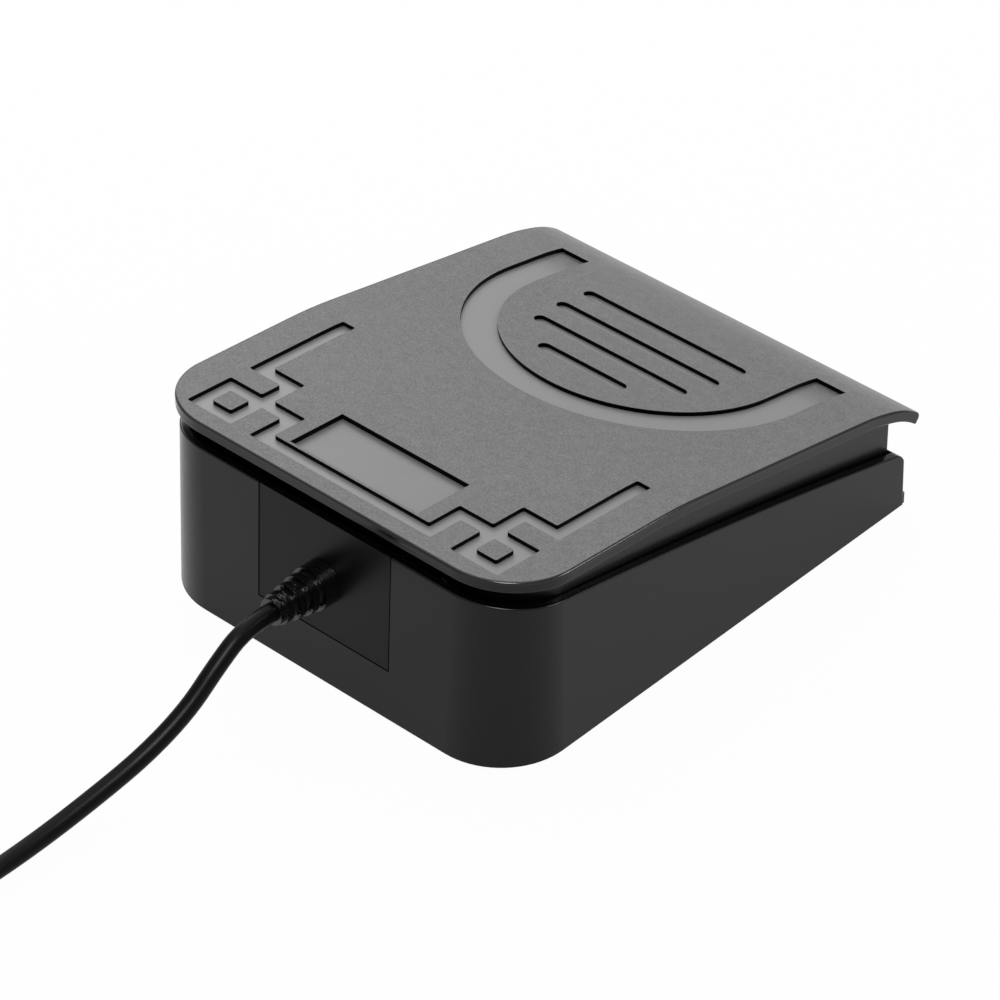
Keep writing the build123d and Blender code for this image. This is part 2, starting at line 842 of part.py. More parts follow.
with BuildPart() as pedal_plate:
    extrude(tread_slab(0, plate_thickness), amount=half_plate, both=True)
    tip_edges = pedal_plate.edges().filter_by(Axis.X).sort_by(Axis.Y)[:2]
    fillet(tip_edges, tip_round)
    with BuildSketch(Plane.XY) as plate_plan:
        with Locations((0, plate_rear_y - shell_depth)):
            Rectangle(plate_width, 2 * shell_depth)
        fillet(plate_plan.vertices().group_by(Axis.Y)[-1], plate_corner_radius)
    extrude(amount=plate_height + 2 * overrun, mode=Mode.INTERSECT)
    top_faces = pedal_plate.faces().filter_by(lambda face: face.normal_at().Z > 0)
    fillet(
        top_faces.edges().filter_by(
            lambda edge: abs(abs(edge.center().X) - half_plate) < seat_gap
            or edge.center().Y > plate_rear_y - plate_corner_radius
        ),
        plate_edge_round,
    )
    under_faces = pedal_plate.faces().filter_by(lambda face: face.normal_at().Z < 0)
    fillet(
        under_faces.edges().filter_by(
            lambda edge: abs(abs(edge.center().X) - half_plate) < seat_gap
            or edge.center().Y > plate_rear_y - plate_corner_radius
        ),
        plate_under_round,
    )
    add(relief_cutter(fret_sketch.sketch, relief_depth), mode=Mode.SUBTRACT)
    add(relief_cutter(arch_sketch.sketch, relief_depth), mode=Mode.SUBTRACT)
    add(relief_cutter(groove_sketch.sketch, relief_depth), mode=Mode.SUBTRACT)
    add(relief_cutter(window_sketch.sketch, window_sink), mode=Mode.SUBTRACT)
    for plane in plate_boss_planes:
        with BuildSketch(plane):
            Circle(plate_boss_radius)
        extrude(amount=deck_thickness)
        with BuildSketch(plane.offset(deck_thickness)):
            Circle(plate_screw_radius + seat_gap)
        extrude(amount=-deck_thickness - plate_thickness / 2, mode=Mode.SUBTRACT)
finish(pedal_plate.part, "pedal_plate")

# Pedal frame: skirt, deck, hinge lugs, spring spigots, stop pads and the switch's nose
deck_under = plate_thickness + deck_thickness
deck_middle = plate_thickness + deck_thickness / 2
rear_wall_level = web_top + part_gap
contact_y = switch_y + switch_length / 2 - lever_pivot_setback - contact_reach
lever_pivot_z = switch_bottom + switch_height + lever_lift
lever_rise = contact_reach * tan(radians(lever_angle))
nose_reach = (lever_thickness / 2 + nose_gap + nose_radius) / cos(radians(lever_angle))
nose_z = lever_pivot_z + lever_rise + nose_reach
lug_centres = [
    side * (web_centre + end * (web_thickness / 2 + part_gap + lug_thickness / 2))
    for side in (-1, 1)
    for end in (-1, 1)
]
with BuildSketch(Plane.YZ) as skirt_side:
    with BuildLine():
        lower = ThreePointArc(
            (rear_y, base_z + shell_rear_height - skirt_overlap),
            (middle_y, base_z + shell_mid_height - skirt_overlap),
            (front_y, base_z + shell_front_height - skirt_front_overlap),
        )
        Polyline(lower @ 1, (front_y, tall), (rear_y, tall), lower @ 0)
    make_face()
with BuildPart() as pedal_frame:
    extrude(frame_outline(0), amount=tall + overrun)
    extrude(under_tread(plate_thickness), amount=frame_half_width, both=True, mode=Mode.INTERSECT)
    extrude(skirt_side.sketch, amount=frame_half_width, both=True, mode=Mode.INTERSECT)
    with BuildPart(mode=Mode.PRIVATE) as hollow:
        extrude(frame_outline(frame_wall), amount=tall + overrun)
        extrude(under_tread(deck_under), amount=frame_half_width, both=True, mode=Mode.INTERSECT)
    add(hollow.part, mode=Mode.SUBTRACT)
    # The rear wall stops just above the hinge webs
    with BuildSketch(Plane.YZ.offset(-web_centre - web_thickness)):
        with Locations((rear_y - shell_wall, rear_wall_level / 2)):
            Rectangle(4 * overrun, rear_wall_level)
    extrude(amount=2 * (web_centre + web_thickness), mode=Mode.SUBTRACT)
    # Hinge lugs on both sides of each web
    for lug_x in lug_centres:
        with BuildPart(mode=Mode.PRIVATE) as lug:
            with BuildSketch(Plane.YZ.offset(lug_x)):
                with Locations((hinge_y, hinge_z + tall / 2)):
                    Rectangle(2 * eye_radius, tall)
                with Locations((hinge_y, hinge_z)):
                    Circle(eye_radius)
            extrude(amount=lug_thickness / 2, both=True)
            with BuildSketch(Plane.YZ.offset(lug_x)):
                with Locations((hinge_y, hinge_z)):
                    Circle(axle_radius + axle_running_gap)
            extrude(amount=lug_thickness, both=True, mode=Mode.SUBTRACT)
            extrude(under_tread(deck_middle), amount=frame_half_width, both=True, mode=Mode.INTERSECT)
        add(lug.part)
    # Spigots that hold the springs, pads for the bump stops and the nose over the switch's lever
    with BuildPart(mode=Mode.PRIVATE) as posts:
        with BuildSketch(Plane.XY.offset(stop_pad_z)):
            with Locations(*stop_places):
                Circle(stop_pad_radius)
        extrude(amount=tall)
        for x, y in spring_places:
            spigot = tread_plane(plate_rear_y - y, deck_under, x)
            with BuildSketch(Plane.XY.offset(spigot.origin.Z - spigot_height)):
                with Locations((x, y)):
                    Circle(spring_radius - spring_wire - spigot_gap)
            extrude(amount=tall)
        with BuildSketch(Plane.YZ):
            with Locations((contact_y, nose_z)):
                Circle(nose_radius)
            with Locations((contact_y, nose_z + tall / 2)):
                Rectangle(2 * nose_radius, tall)
        extrude(amount=nose_width / 2, both=True)
        extrude(under_tread(deck_middle), amount=frame_half_width, both=True, mode=Mode.INTERSECT)
    add(posts.part)
    # Stiffening ribs under the deck
    with BuildPart(mode=Mode.PRIVATE) as ribs:
        for rib_x in (-rib_place, rib_place):
            with BuildSketch(Plane.XY):
                with Locations((rib_x, middle_y)):
                    Rectangle(rib_thickness, shell_depth)
            extrude(amount=tall + overrun)
        with BuildSketch(Plane.XY):
            with Locations(*[(0, rear_y - setback) for setback in rib_setbacks]):
                Rectangle(2 * frame_half_width, rib_thickness)
        extrude(amount=tall + overrun)
        extrude(frame_outline(frame_wall / 2), amount=tall + overrun, mode=Mode.INTERSECT)
        rib_slab = tread_slab(deck_middle, deck_under + rib_height)
        extrude(rib_slab, amount=frame_half_width, both=True, mode=Mode.INTERSECT)
    add(ribs.part)
    # Holes that the plate's bosses come through
    for plane in plate_boss_planes:
        with BuildSketch(plane.offset(-overrun)):
            Circle(plate_boss_radius + plate_boss_gap)
        extrude(amount=overrun + deck_thickness, mode=Mode.SUBTRACT)
finish(pedal_frame.part, "pedal_frame")

# Screws that hold the plate to the frame
plate_screws = [
    screw(
        Plane(
            origin=plane.origin + plane.z_dir * (deck_thickness + seat_gap),
            x_dir=(1, 0, 0),
            z_dir=-plane.z_dir,
        ),
        plate_screw_length,
        plate_screw_radius,
        plate_screw_head_radius,
        plate_screw_head_height,
    )
    for plane in plate_boss_planes
]
finish(Compound(children=plate_screws), "plate_screws")

# Hinge axle and the clips at its ends
lug_outer = web_centre + web_thickness / 2 + part_gap + lug_thickness
clip_x = lug_outer + part_gap
axle_half = clip_x + clip_thickness + axle_end
with BuildPart() as hinge_axle:
    with BuildSketch(Plane.YZ.offset(-axle_half)):
        with Locations((hinge_y, hinge_z)):
            Circle(axle_radius)
    extrude(amount=2 * axle_half)
    for side in (-1, 1):
        with BuildSketch(Plane.YZ.offset(side * clip_x)):
            with Locations((hinge_y, hinge_z)):
                Circle(axle_radius + overrun)
                Circle(axle_radius - groove_sink, mode=Mode.SUBTRACT)
        extrude(amount=side * clip_thickness, mode=Mode.SUBTRACT)
    chamfer(hinge_axle.edges().filter_by(GeomType.CIRCLE).group_by(Axis.X)[0], groove_sink)
    chamfer(hinge_axle.edges().filter_by(GeomType.CIRCLE).group_by(Axis.X)[-1], groove_sink)
finish(hinge_axle.part, "hinge_axle")

with BuildPart() as axle_clips:
    for side in (-1, 1):
        with BuildSketch(Plane.YZ.offset(side * (clip_x + seat_gap))):
            with Locations((hinge_y, hinge_z)):
                Circle(clip_radius)
                Circle(axle_radius - groove_sink + seat_gap, mode=Mode.SUBTRACT)
            with Locations((hinge_y - clip_radius, hinge_z)):
                Rectangle(2 * clip_radius, 2 * (axle_radius - groove_sink), mode=Mode.SUBTRACT)
        extrude(amount=side * (clip_thickness - 2 * seat_gap))
finish(axle_clips.part, "axle_clips")

# Return springs, one tube each, from the seat up to the deck
spring_foot = floor_z + spring_seat_height + seat_gap
for name, (x, y) in zip(("left_spring", "right_spring"), spring_places):
    deck_point = tread_plane(plate_rear_y - y, deck_under, x).origin.Z
    spring_head = deck_point - spring_radius * tan(radians(front_slope)) - spring_wire / 2 - part_gap
    spring_rise = spring_head - spring_foot - spring_wire
    with BuildPart() as spring:
        with BuildLine() as coil_line:
            Helix(
                pitch=spring_rise / spring_turns,
                height=spring_rise,
                radius=spring_radius - spring_wire / 2,
                center=(x, y, spring_foot + spring_wire / 2),
            )
        with BuildSketch(Plane(origin=coil_line.line @ 0, z_dir=coil_line.line % 0)):
            Circle(spring_wire / 2)
        sweep(is_frenet=True)
    finish(spring.part, name)

# Rubber bump stops
for name, (x, y) in zip(("left_bump_stop", "right_bump_stop"), stop_places):
    with BuildPart() as stop:
        with BuildSketch(Plane(origin=(x, y, stop_post_top))):
            Circle(stop_radius)
        extrude(amount=stop_thickness)
        fillet(stop.faces().sort_by(Axis.Z)[-1].edges(), foot_edge)
    finish(stop.part, name)

# Microswitch case in two halves, with its plunger and lever
switch_top = switch_bottom + switch_height
cap_height = switch_height * switch_cap_share
pivot_y = switch_y + switch_length / 2 - lever_pivot_setback
plunger_y = pivot_y - plunger_reach


def switch_half(low, high):
    """One half of the switch's case, between two levels, with the mounting holes through it."""
    with BuildPart() as half:
        with BuildSketch(Plane.XY.offset(low)):
            with Locations((0, switch_y)):
                Rectangle(switch_width, switch_length)
        extrude(amount=high - low)
        with BuildSketch(Plane.YZ):
            with Locations(*switch_holes):
                Circle(switch_hole_radius)
        extrude(amount=switch_width, both=True, mode=Mode.SUBTRACT)
    return half.part


with BuildPart() as switch_body:
    add(switch_half(switch_bottom, switch_top - cap_height))
    vertical = switch_body.edges().filter_by(Axis.Z)
    fillet(vertical.filter_by(lambda e: abs(e.center().X) > switch_width / 2 - seat_gap), foot_edge)
finish(switch_body.part, "switch_body")

ear_height = lever_lift + lever_barrel_radius
with BuildPart() as switch_cap:
    add(switch_half(switch_top - cap_height, switch_top))
    for side in (-1, 1):
        ear_x = side * (lever_width / 2 + seat_gap)
        with BuildSketch(Plane.YZ.offset(ear_x)):
            with Locations((pivot_y, switch_top + ear_height / 2)):
                Rectangle(2 * lever_barrel_radius, ear_height)
            with Locations((pivot_y, lever_pivot_z)):
                Circle(lever_pin_radius + seat_gap, mode=Mode.SUBTRACT)
        extrude(amount=side * lever_ear)
    with BuildSketch(Plane.YZ):
        with Locations((pivot_y, lever_pivot_z)):
            Circle(lever_barrel_radius + part_gap)
    extrude(amount=lever_width / 2 + seat_gap, both=True, mode=Mode.SUBTRACT)
    with BuildSketch(Plane.XY.offset(switch_top)):
        with Locations((0, plunger_y)):
            Circle(plunger_radius + seat_gap)
    extrude(amount=-plunger_sink, mode=Mode.SUBTRACT)
finish(switch_cap.part, "switch_cap")

lever_plane = Plane(
    origin=(0, pivot_y, lever_pivot_z),
    x_dir=(0, -cos(radians(lever_angle)), sin(radians(lever_angle))),
    z_dir=(-1, 0, 0),
)
with BuildPart() as switch_lever:
    with BuildSketch(lever_plane):
        with Locations((lever_length / 2, 0)):
            Rectangle(lever_length, lever_thickness)
        Circle(lever_barrel_radius)
    extrude(amount=lever_width / 2 - seat_gap, both=True)
    with BuildSketch(lever_plane):
        Circle(lever_pin_radius)
    extrude(amount=lever_width / 2 + seat_gap + lever_ear, both=True)
finish(switch_lever.part, "switch_lever")

lever_under = lever_pivot_z + (plunger_reach - plunger_radius / 3) * tan(radians(lever_angle))
plunger_top = lever_under - lever_thickness / 2 / cos(radians(lever_angle)) - seat_gap
plunger_travel = plunger_reach * sin(radians(lever_angle))
with BuildPart() as switch_plunger:
    with BuildSketch(Plane((0, plunger_y, switch_top - plunger_sink + plunger_travel + part_gap))):
        Circle(plunger_radius)
    extrude(amount=plunger_top - switch_top + plunger_sink - plunger_travel - part_gap)
    fillet(switch_plunger.faces().sort_by(Axis.Z)[-1].edges(), plunger_dome)
finish(switch_plunger.part, "switch_plunger")

terminal_y_shares = (-0.36, 0.0, 0.36)
terminal_ys = [switch_y + share * switch_length for share in terminal_y_shares]
with BuildPart() as switch_terminals:
    for y in terminal_ys:
        with BuildSketch(Plane.XY.offset(switch_bottom)):
            with Locations((0, y)):
                Rectangle(terminal_thickness, terminal_width)
        extrude(amount=-terminal_length)
        with BuildSketch(Plane.YZ):
            with Locations((y, switch_bottom - terminal_length * 2 / 3)):
                Circle(terminal_width / 4)
        extrude(amount=terminal_thickness, both=True, mode=Mode.SUBTRACT)
finish(switch_terminals.part, "switch_terminals")

switch_screws = [
    screw(
        Plane(origin=(-switch_width / 2 - seat_gap, y, z), x_dir=(0, 1, 0), z_dir=(1, 0, 0)),
        switch_width + 2 * seat_gap + bracket_thickness,
        screw_radius,
        screw_head_radius,
        screw_head_height,
    )
    for y, z in switch_holes
]
finish(Compound(children=switch_screws), "switch_screws")

# Circuit board and what is soldered to it
board_right = board_x + board_width / 2
board_front = board_y - board_depth / 2
screw_side = board_x - board_width / 2 + board_hole_inset + board_screw_head_radius
with BuildPart() as circuit_board:
    with BuildSketch(Plane.XY.offset(board_z)):
        with Locations((board_x, board_y)):
            RectangleRounded(board_width, board_depth, foot_edge * 2)
        with Locations(*board_holes):
            Circle(board_screw_radius + seat_gap, mode=Mode.SUBTRACT)
    extrude(amount=board_thickness)
finish(circuit_board.part, "circuit_board")

board_screws = [
    screw(
        Plane(origin=(x, y, board_top + seat_gap), z_dir=(0, 0, -1)),
        board_screw_length,
        board_screw_radius,
        board_screw_head_radius,
        screw_head_height,
    )
    for x, y in board_holes
]
finish(Compound(children=board_screws), "board_screws")

chip_x = board_x - board_width / 8
chip_stand = lead_thickness
with BuildPart() as controller_chip:
    with BuildSketch(Plane.XY.offset(board_top + chip_stand)):
        with Locations((chip_x, board_y)):
            Rectangle(chip_length, chip_width)
    extrude(amount=chip_height)
    chamfer(controller_chip.faces().sort_by(Axis.Z)[-1].edges(), lead_thickness)
    with BuildSketch(Plane.XY.offset(board_top + chip_stand + chip_height)):
        with Locations((chip_x - chip_length / 2 + lead_reach, board_y - chip_width / 4)):
            Circle(lead_width)
    extrude(amount=-lead_thickness / 2, mode=Mode.SUBTRACT)
finish(controller_chip.part, "controller_chip")

lead_high = board_top + chip_height / 2
with BuildPart() as chip_leads:
    for side in (-1, 1):
        root_y = board_y + side * chip_width / 2
        bend_y = root_y + side * lead_reach / 2
        inner_y = bend_y - side * lead_thickness
        tip_y = root_y + side * lead_reach
        for lead in range(lead_count):
            lead_x = chip_x + (lead - (lead_count - 1) / 2) * lead_pitch
            with BuildSketch(Plane.YZ.offset(lead_x)):
                with BuildLine():
                    Polyline(
                        (root_y, lead_high + lead_thickness),
                        (bend_y, lead_high + lead_thickness),
                        (bend_y, board_top + lead_thickness),
                        (tip_y, board_top + lead_thickness),
                        (tip_y, board_top),
                        (inner_y, board_top),
                        (inner_y, lead_high),
                        (root_y, lead_high),
                        close=True,
                    )
                make_face()
            extrude(amount=lead_width / 2, both=True)
finish(chip_leads.part, "chip_leads")

with BuildPart() as crystal:
    with BuildSketch(Plane.XY.offset(board_top)):
        with Locations((screw_side + crystal_screw_gap + crystal_length / 2, board_y + board_depth / 3)):
            SlotOverall(crystal_length, crystal_width)
    extrude(amount=crystal_height)
    fillet(crystal.faces().sort_by(Axis.Z)[-1].edges(), foot_edge)
finish(crystal.part, "crystal")

header_column = board_right - header_depth - small_part_header_gap - small_part_length / 2
edge_column = board_x - board_width / 2 + small_part_edge_gap + small_part_length / 2
screw_column = screw_side + small_part_screw_gap + small_part_length / 2
small_part_row_shares = (0.1, -0.06, -0.22)
small_part_front_share = -0.36
small_part_places = [(header_column, board_y + share * board_depth) for share in small_part_row_shares]
small_part_places += [
    (edge_column, board_y),
    (screw_column, board_y + small_part_front_share * board_depth),
    (screw_column + small_part_pitch, board_y + small_part_front_share * board_depth),
]
with BuildPart() as chip_parts:
    for x, y in small_part_places:
        with BuildSketch(Plane.XY.offset(board_top)):
            with Locations((x, y)):
                Rectangle(small_part_length, small_part_width)
        extrude(amount=small_part_height)
finish(chip_parts.part, "chip_parts")


def socket(plane, pins):
    """A shrouded pin header whose mouth faces along the plane's normal."""
    with BuildPart() as body:
        with BuildSketch(plane):
            Rectangle(pins * pin_pitch + pin_pitch, header_height)
        extrude(amount=-header_depth)
        with BuildSketch(plane):
            Rectangle(pins * pin_pitch + pin_pitch / 2 + seat_gap, plug_height + seat_gap)
        extrude(amount=-header_depth * 2 / 3, mode=Mode.SUBTRACT)
    return body.part


def wire_plug(plane, pins):
    """The plug that sits in such a header, with a recess for each wire."""
    with BuildPart() as body:
        with BuildSketch(plane.offset(-header_depth * 2 / 3 + seat_gap)):
            Rectangle(pins * pin_pitch + pin_pitch / 2 - seat_gap, plug_height - seat_gap)
        extrude(amount=plug_depth)
        with BuildSketch(plane.offset(plug_depth - header_depth * 2 / 3 + seat_gap)):
            with GridLocations(pin_pitch, pin_pitch, pins, 1):
                Circle(wire_radius + seat_gap)
        extrude(amount=-plug_depth / 4, mode=Mode.SUBTRACT)
    return body.part


cable_pins = 4
switch_pins = 2
header_z = board_top + header_height / 2
cable_socket_plane = Plane(
    origin=(board_right, board_front + (cable_pins + 1) * pin_pitch / 2 + foot_edge, header_z),
    x_dir=(0, 1, 0),
    z_dir=(1, 0, 0),
)
switch_socket_plane = Plane(
    origin=(board_x + board_width / 6, board_front, header_z),
    x_dir=(1, 0, 0),
    z_dir=(0, -1, 0),
)
finish(socket(cable_socket_plane, cable_pins), "cable_header")
finish(wire_plug(cable_socket_plane, cable_pins), "cable_plug")
finish(socket(switch_socket_plane, switch_pins), "switch_header")
finish(wire_plug(switch_socket_plane, switch_pins), "switch_plug")

# Jacket inside the housing, its clamp, and the wires
jacket_start = relief_plane.offset(relief_inner - relief_flange).origin
inner_points = [tuple(jacket_start)] + inner_route
finish(tube(inner_points, cable_radius), "inner_cable")

clamp_z = floor_z + clamp_boss_height
with BuildPart() as cable_clamp:
    with BuildSketch(Plane.XY.offset(clamp_z)):
        with Locations((clamp_x, clamp_y)):
            SlotOverall(2 * clamp_screw_x + clamp_length, clamp_length)
        with Locations(*clamp_places):
            Circle(board_screw_radius + seat_gap, mode=Mode.SUBTRACT)
    extrude(amount=clamp_thickness)
finish(cable_clamp.part, "cable_clamp")

clamp_screws = [
    screw(
        Plane(origin=(x, y, clamp_z + clamp_thickness + seat_gap), z_dir=(0, 0, -1)),
        board_screw_length,
        board_screw_radius,
        board_screw_head_radius,
        screw_head_height,
    )
    for x, y in clamp_places
]
finish(Compound(children=clamp_screws), "clamp_screws")

wire_rings = (("red", -1, 1), ("white", 1, 1), ("green", -1, -1), ("black", 1, -1))
plug_face = plug_depth - header_depth * 2 / 3 + seat_gap
jacket_end = inner_route[-1]
ring = (cable_radius - wire_radius) / sqrt(2) - seat_gap
for pin, (colour, up, right) in enumerate(wire_rings):
    across = (pin - (cable_pins - 1) / 2) * pin_pitch
    start = cable_socket_plane.from_local_coords(Vector(across, 0, plug_face))
    end = (jacket_end[0] + right * ring, jacket_end[1], jacket_end[2] + up * ring)
    wire_points = [
        tuple(start),
        (start.X + plug_depth, start.Y, start.Z),
        (end[0], start.Y + wire_radius, end[2]),
        end,
    ]
    finish(tube(wire_points, wire_radius), f"{colour}_wire")

for pin, (name, y) in enumerate(zip(("common_wire", "contact_wire"), (terminal_ys[1], terminal_ys[0]))):
    across = (pin - (switch_pins - 1) / 2) * pin_pitch
    start = switch_socket_plane.from_local_coords(Vector(-across, 0, plug_face))
    end = (-terminal_thickness / 2, y, switch_bottom - terminal_length / 2)
    wire_points = [
        tuple(start),
        (start.X, y + 2 * pin_pitch, start.Z - pin_pitch),
        (start.X + 2 * pin_pitch, y, end[2]),
        end,
    ]
    finish(tube(wire_points, wire_radius), name)

# Cable's free stretch
coil_x = cable_route[-1][0] + coil_radius
coil_y = cable_route[-1][1] + 2 * coil_pitch
coil_z = part_gap + tie_thickness + cable_radius
relief_end = relief_plane.offset(relief_length).origin
coil_start = (coil_x - coil_radius, coil_y - 2 * cable_radius, coil_z)
finish(tube([tuple(relief_end)] + cable_route + [coil_start], cable_radius), "usb_cable")

# Put-away coil: half turns that spiral in and out, one layer on the next, then a bend across the top
places = [coil_radius]
levels = [coil_z]
for layer in range(coil_layers):
    step = -coil_pitch / 2 if layer % 2 == 0 else coil_pitch / 2
    for turn in range(layer_half_turns):
        places.append(places[-1] + step)
        levels.append(levels[-1])
    places.append(places[-1])
    levels.append(levels[-1] + layer_height)
coil_top = levels[-2] + cable_radius
top_level = coil_top + grip_height / 2 + part_gap
levels[-1] = top_level
with BuildPart() as cable_coil:
    with BuildLine() as coil_path:
        Line(coil_start, (coil_x - coil_radius, coil_y, coil_z))
        for turn, (near, far, low, high) in enumerate(zip(places, places[1:], levels, levels[1:])):
            side = -1 if turn % 2 == 0 else 1
            start = Vector(coil_x + side * near, coil_y, low)
            end = Vector(coil_x - side * far, coil_y, high)
            reach = (end - start).length / 2
            ThreePointArc(start, (start + end) / 2 + Vector(0, -side * reach, 0), end)
        bend_centre = end + Vector(top_bend_radius, 0, 0)
        bend_end = bend_centre + Vector(0, top_bend_radius, 0)
        bend_middle = bend_centre + Vector(-top_bend_radius, top_bend_radius, 0) / sqrt(2)
        ThreePointArc(end, bend_middle, bend_end)
        cord_end = bend_end + Vector(2 * cable_radius, 0, 0)
        Line(bend_end, cord_end)
    with BuildSketch(Plane(origin=coil_start, z_dir=(0, 1, 0))):
        Circle(cable_radius)
    sweep()
coil_wire = coil_path.wire()
sample_count = int(coil_wire.length)
samples = [coil_wire @ (index / sample_count) for index in range(sample_count)]
near_count = int(4 * cable_radius)
least = min(
    (samples[a] - samples[b]).length
    for a in range(sample_count)
    for b in range(a + near_count, sample_count)
    if abs(samples[a].X - samples[b].X) < coil_pitch
    and abs(samples[a].Y - samples[b].Y) < coil_pitch
    and abs(samples[a].Z - samples[b].Z) < 2 * layer_height
)
print(f"coil length {coil_wire.length:.1f}, least gap to itself {least - 2 * cable_radius:.2f}")
finish(cable_coil.part, "cable_coil")

# Tie round the coil
tie_inner = min(places) - cable_radius - part_gap
tie_outer = coil_radius + cable_radius + part_gap
tie_low = coil_z - cable_radius - part_gap
tie_high = coil_top + part_gap
with BuildPart() as coil_tie:
    with BuildSketch(Plane.XZ.offset(-coil_y)):
        with Locations((coil_x - (tie_inner + tie_outer) / 2, (tie_low + tie_high) / 2)):
            RectangleRounded(
                tie_outer - tie_inner + 2 * tie_thickness,
                tie_high - tie_low + 2 * tie_thickness,
                cable_radius,
            )
            RectangleRounded(
                tie_outer - tie_inner,
                tie_high - tie_low,
                cable_radius - tie_thickness,
                mode=Mode.SUBTRACT,
            )
    extrude(amount=tie_width / 2, both=True)
finish(coil_tie.part, "coil_tie")

# USB plug on the coil
plug_plane = Plane(origin=cord_end, x_dir=(0, 1, 0), z_dir=(1, 0, 0))
with BuildPart() as plug_grip:
    with BuildSketch(plug_plane):
        Circle(grip_neck_radius - wire_radius)
    with BuildSketch(plug_plane.offset(grip_neck_length)):
        Circle(grip_neck_radius)
    loft(ruled=True)
    with BuildSketch(plug_plane.offset(grip_neck_length)):
        RectangleRounded(grip_width, grip_height, grip_round)
    extrude(amount=grip_length)
    chamfer(plug_grip.faces().sort_by(Axis.X)[-1].edges(), grip_round / 4)
finish(plug_grip.part, "plug_grip")

plug_front = plug_plane.offset(grip_neck_length + grip_length)
with BuildPart() as plug_shell:
    with BuildSketch(plug_front):
        RectangleRounded(plug_shell_width, plug_shell_height, plug_shell_wall * 2)
        RectangleRounded(
            plug_shell_width - 2 * plug_shell_wall,
            plug_shell_height - 2 * plug_shell_wall,
            plug_shell_wall,
            mode=Mode.SUBTRACT,
        )
    extrude(amount=plug_shell_length)
    window_x = plug_front.origin.X + plug_shell_length / 2
    with BuildSketch(Plane.XY.offset(top_level)):
        for side in (-1, 1):
            with Locations((window_x, cord_end.Y + side * plug_shell_width / 5)):
                Rectangle(plug_shell_height / 2, plug_shell_height / 2)
    extrude(amount=plug_shell_height, both=True, mode=Mode.SUBTRACT)
finish(plug_shell.part, "plug_shell")

tongue_low = plug_shell_wall + seat_gap - plug_shell_height / 2
with BuildPart() as plug_tongue:
    with BuildSketch(plug_front):
        with Locations((0, tongue_low + tongue_height / 2)):
            Rectangle(tongue_width, tongue_height)
    extrude(amount=plug_shell_length - plug_shell_wall)
finish(plug_tongue.part, "plug_tongue")

with BuildPart() as plug_contacts:
    with BuildSketch(plug_front):
        with Locations((0, tongue_low + tongue_height + contact_thickness / 2)):
            with GridLocations(contact_pitch, contact_pitch, cable_pins, 1):
                Rectangle(contact_width, contact_thickness)
    extrude(amount=plug_shell_length * 3 / 4)
finish(plug_contacts.part, "plug_contacts")
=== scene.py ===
"""Looks of a USB foot pedal switch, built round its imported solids."""

import math

import bpy
from mathutils import Matrix, Vector


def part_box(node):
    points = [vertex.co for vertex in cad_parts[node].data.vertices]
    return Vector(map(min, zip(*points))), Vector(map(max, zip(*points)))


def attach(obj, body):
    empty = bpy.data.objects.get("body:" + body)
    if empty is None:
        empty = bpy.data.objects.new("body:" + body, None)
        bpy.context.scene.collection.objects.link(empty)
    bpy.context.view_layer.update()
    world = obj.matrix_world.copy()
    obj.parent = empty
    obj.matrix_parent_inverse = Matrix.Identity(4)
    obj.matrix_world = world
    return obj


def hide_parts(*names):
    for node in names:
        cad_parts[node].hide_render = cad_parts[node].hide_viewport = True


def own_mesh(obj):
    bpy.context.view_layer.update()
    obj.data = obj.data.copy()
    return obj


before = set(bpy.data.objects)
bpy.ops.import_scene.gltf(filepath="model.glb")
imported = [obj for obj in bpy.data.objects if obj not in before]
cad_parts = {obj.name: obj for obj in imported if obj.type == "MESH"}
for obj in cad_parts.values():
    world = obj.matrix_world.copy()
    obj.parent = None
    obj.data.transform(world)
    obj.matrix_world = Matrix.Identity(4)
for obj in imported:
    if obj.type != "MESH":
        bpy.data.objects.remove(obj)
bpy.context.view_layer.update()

bl_info = {
    "name": "Foot Pedal Switch",
    "version": (1, 0, 0),
    "blender": (4, 5, 0),
    "location": "3D View > Sidebar > Foot Pedal",
    "description": "Finishes, cable and stage of a USB foot pedal switch",
    "category": "Object",
}

MM = 0.001
plate_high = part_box("pedal_plate")[1]

# The free cable's route, in millimetres, from the strain relief's tip to the coil
CABLE_EXIT = (0.0, 76.698, 26.117)
CABLE_ROUTE = [
    (0.0, 84.0, 26.5),
    (-0.2, 92.0, 22.1),
    (-0.1, 100.0, 16.0),
    (1.0, 110.5, 10.7),
    (2.5, 122.5, 7.0),
    (4.1, 136.5, 3.7),
    (5.1, 151.0, 2.3),
    (5.5, 162.0, 3.2),
]
COIL_RADIUS = 29.4
COIL_PITCH = 5.35
LAYER_HEIGHT = 5.0
COIL_LAYERS = 4
LAYER_HALF_TURNS = 6
COIL_Y = 172.7
COIL_Z = 3.2
TOP_RISE = 6.2
TOP_LEVEL = COIL_Z + (COIL_LAYERS - 1) * LAYER_HEIGHT + TOP_RISE
TOP_BEND_RADIUS = 13.0
PLUG_RUN = 4.0
POINTS_PER_HALF_TURN = 12

# The return springs, in metres
SPRING_WIRE = 0.0011
SPRING_TURNS = 7
SPRING_POINTS_PER_TURN = 24

# Slow spots in the plastics' gloss, and streaks in the metals'
PATCH_SIZE = 0.03
STREAK_SIZE = 0.002
STREAK_CHANGE = 0.12

# The cable jacket's gloss
WAVE_SIZE = 0.006
WAVE_CHANGE = 0.08
JACKET_ROUGHNESS = 0.34
JACKET_SHEEN = 0.11

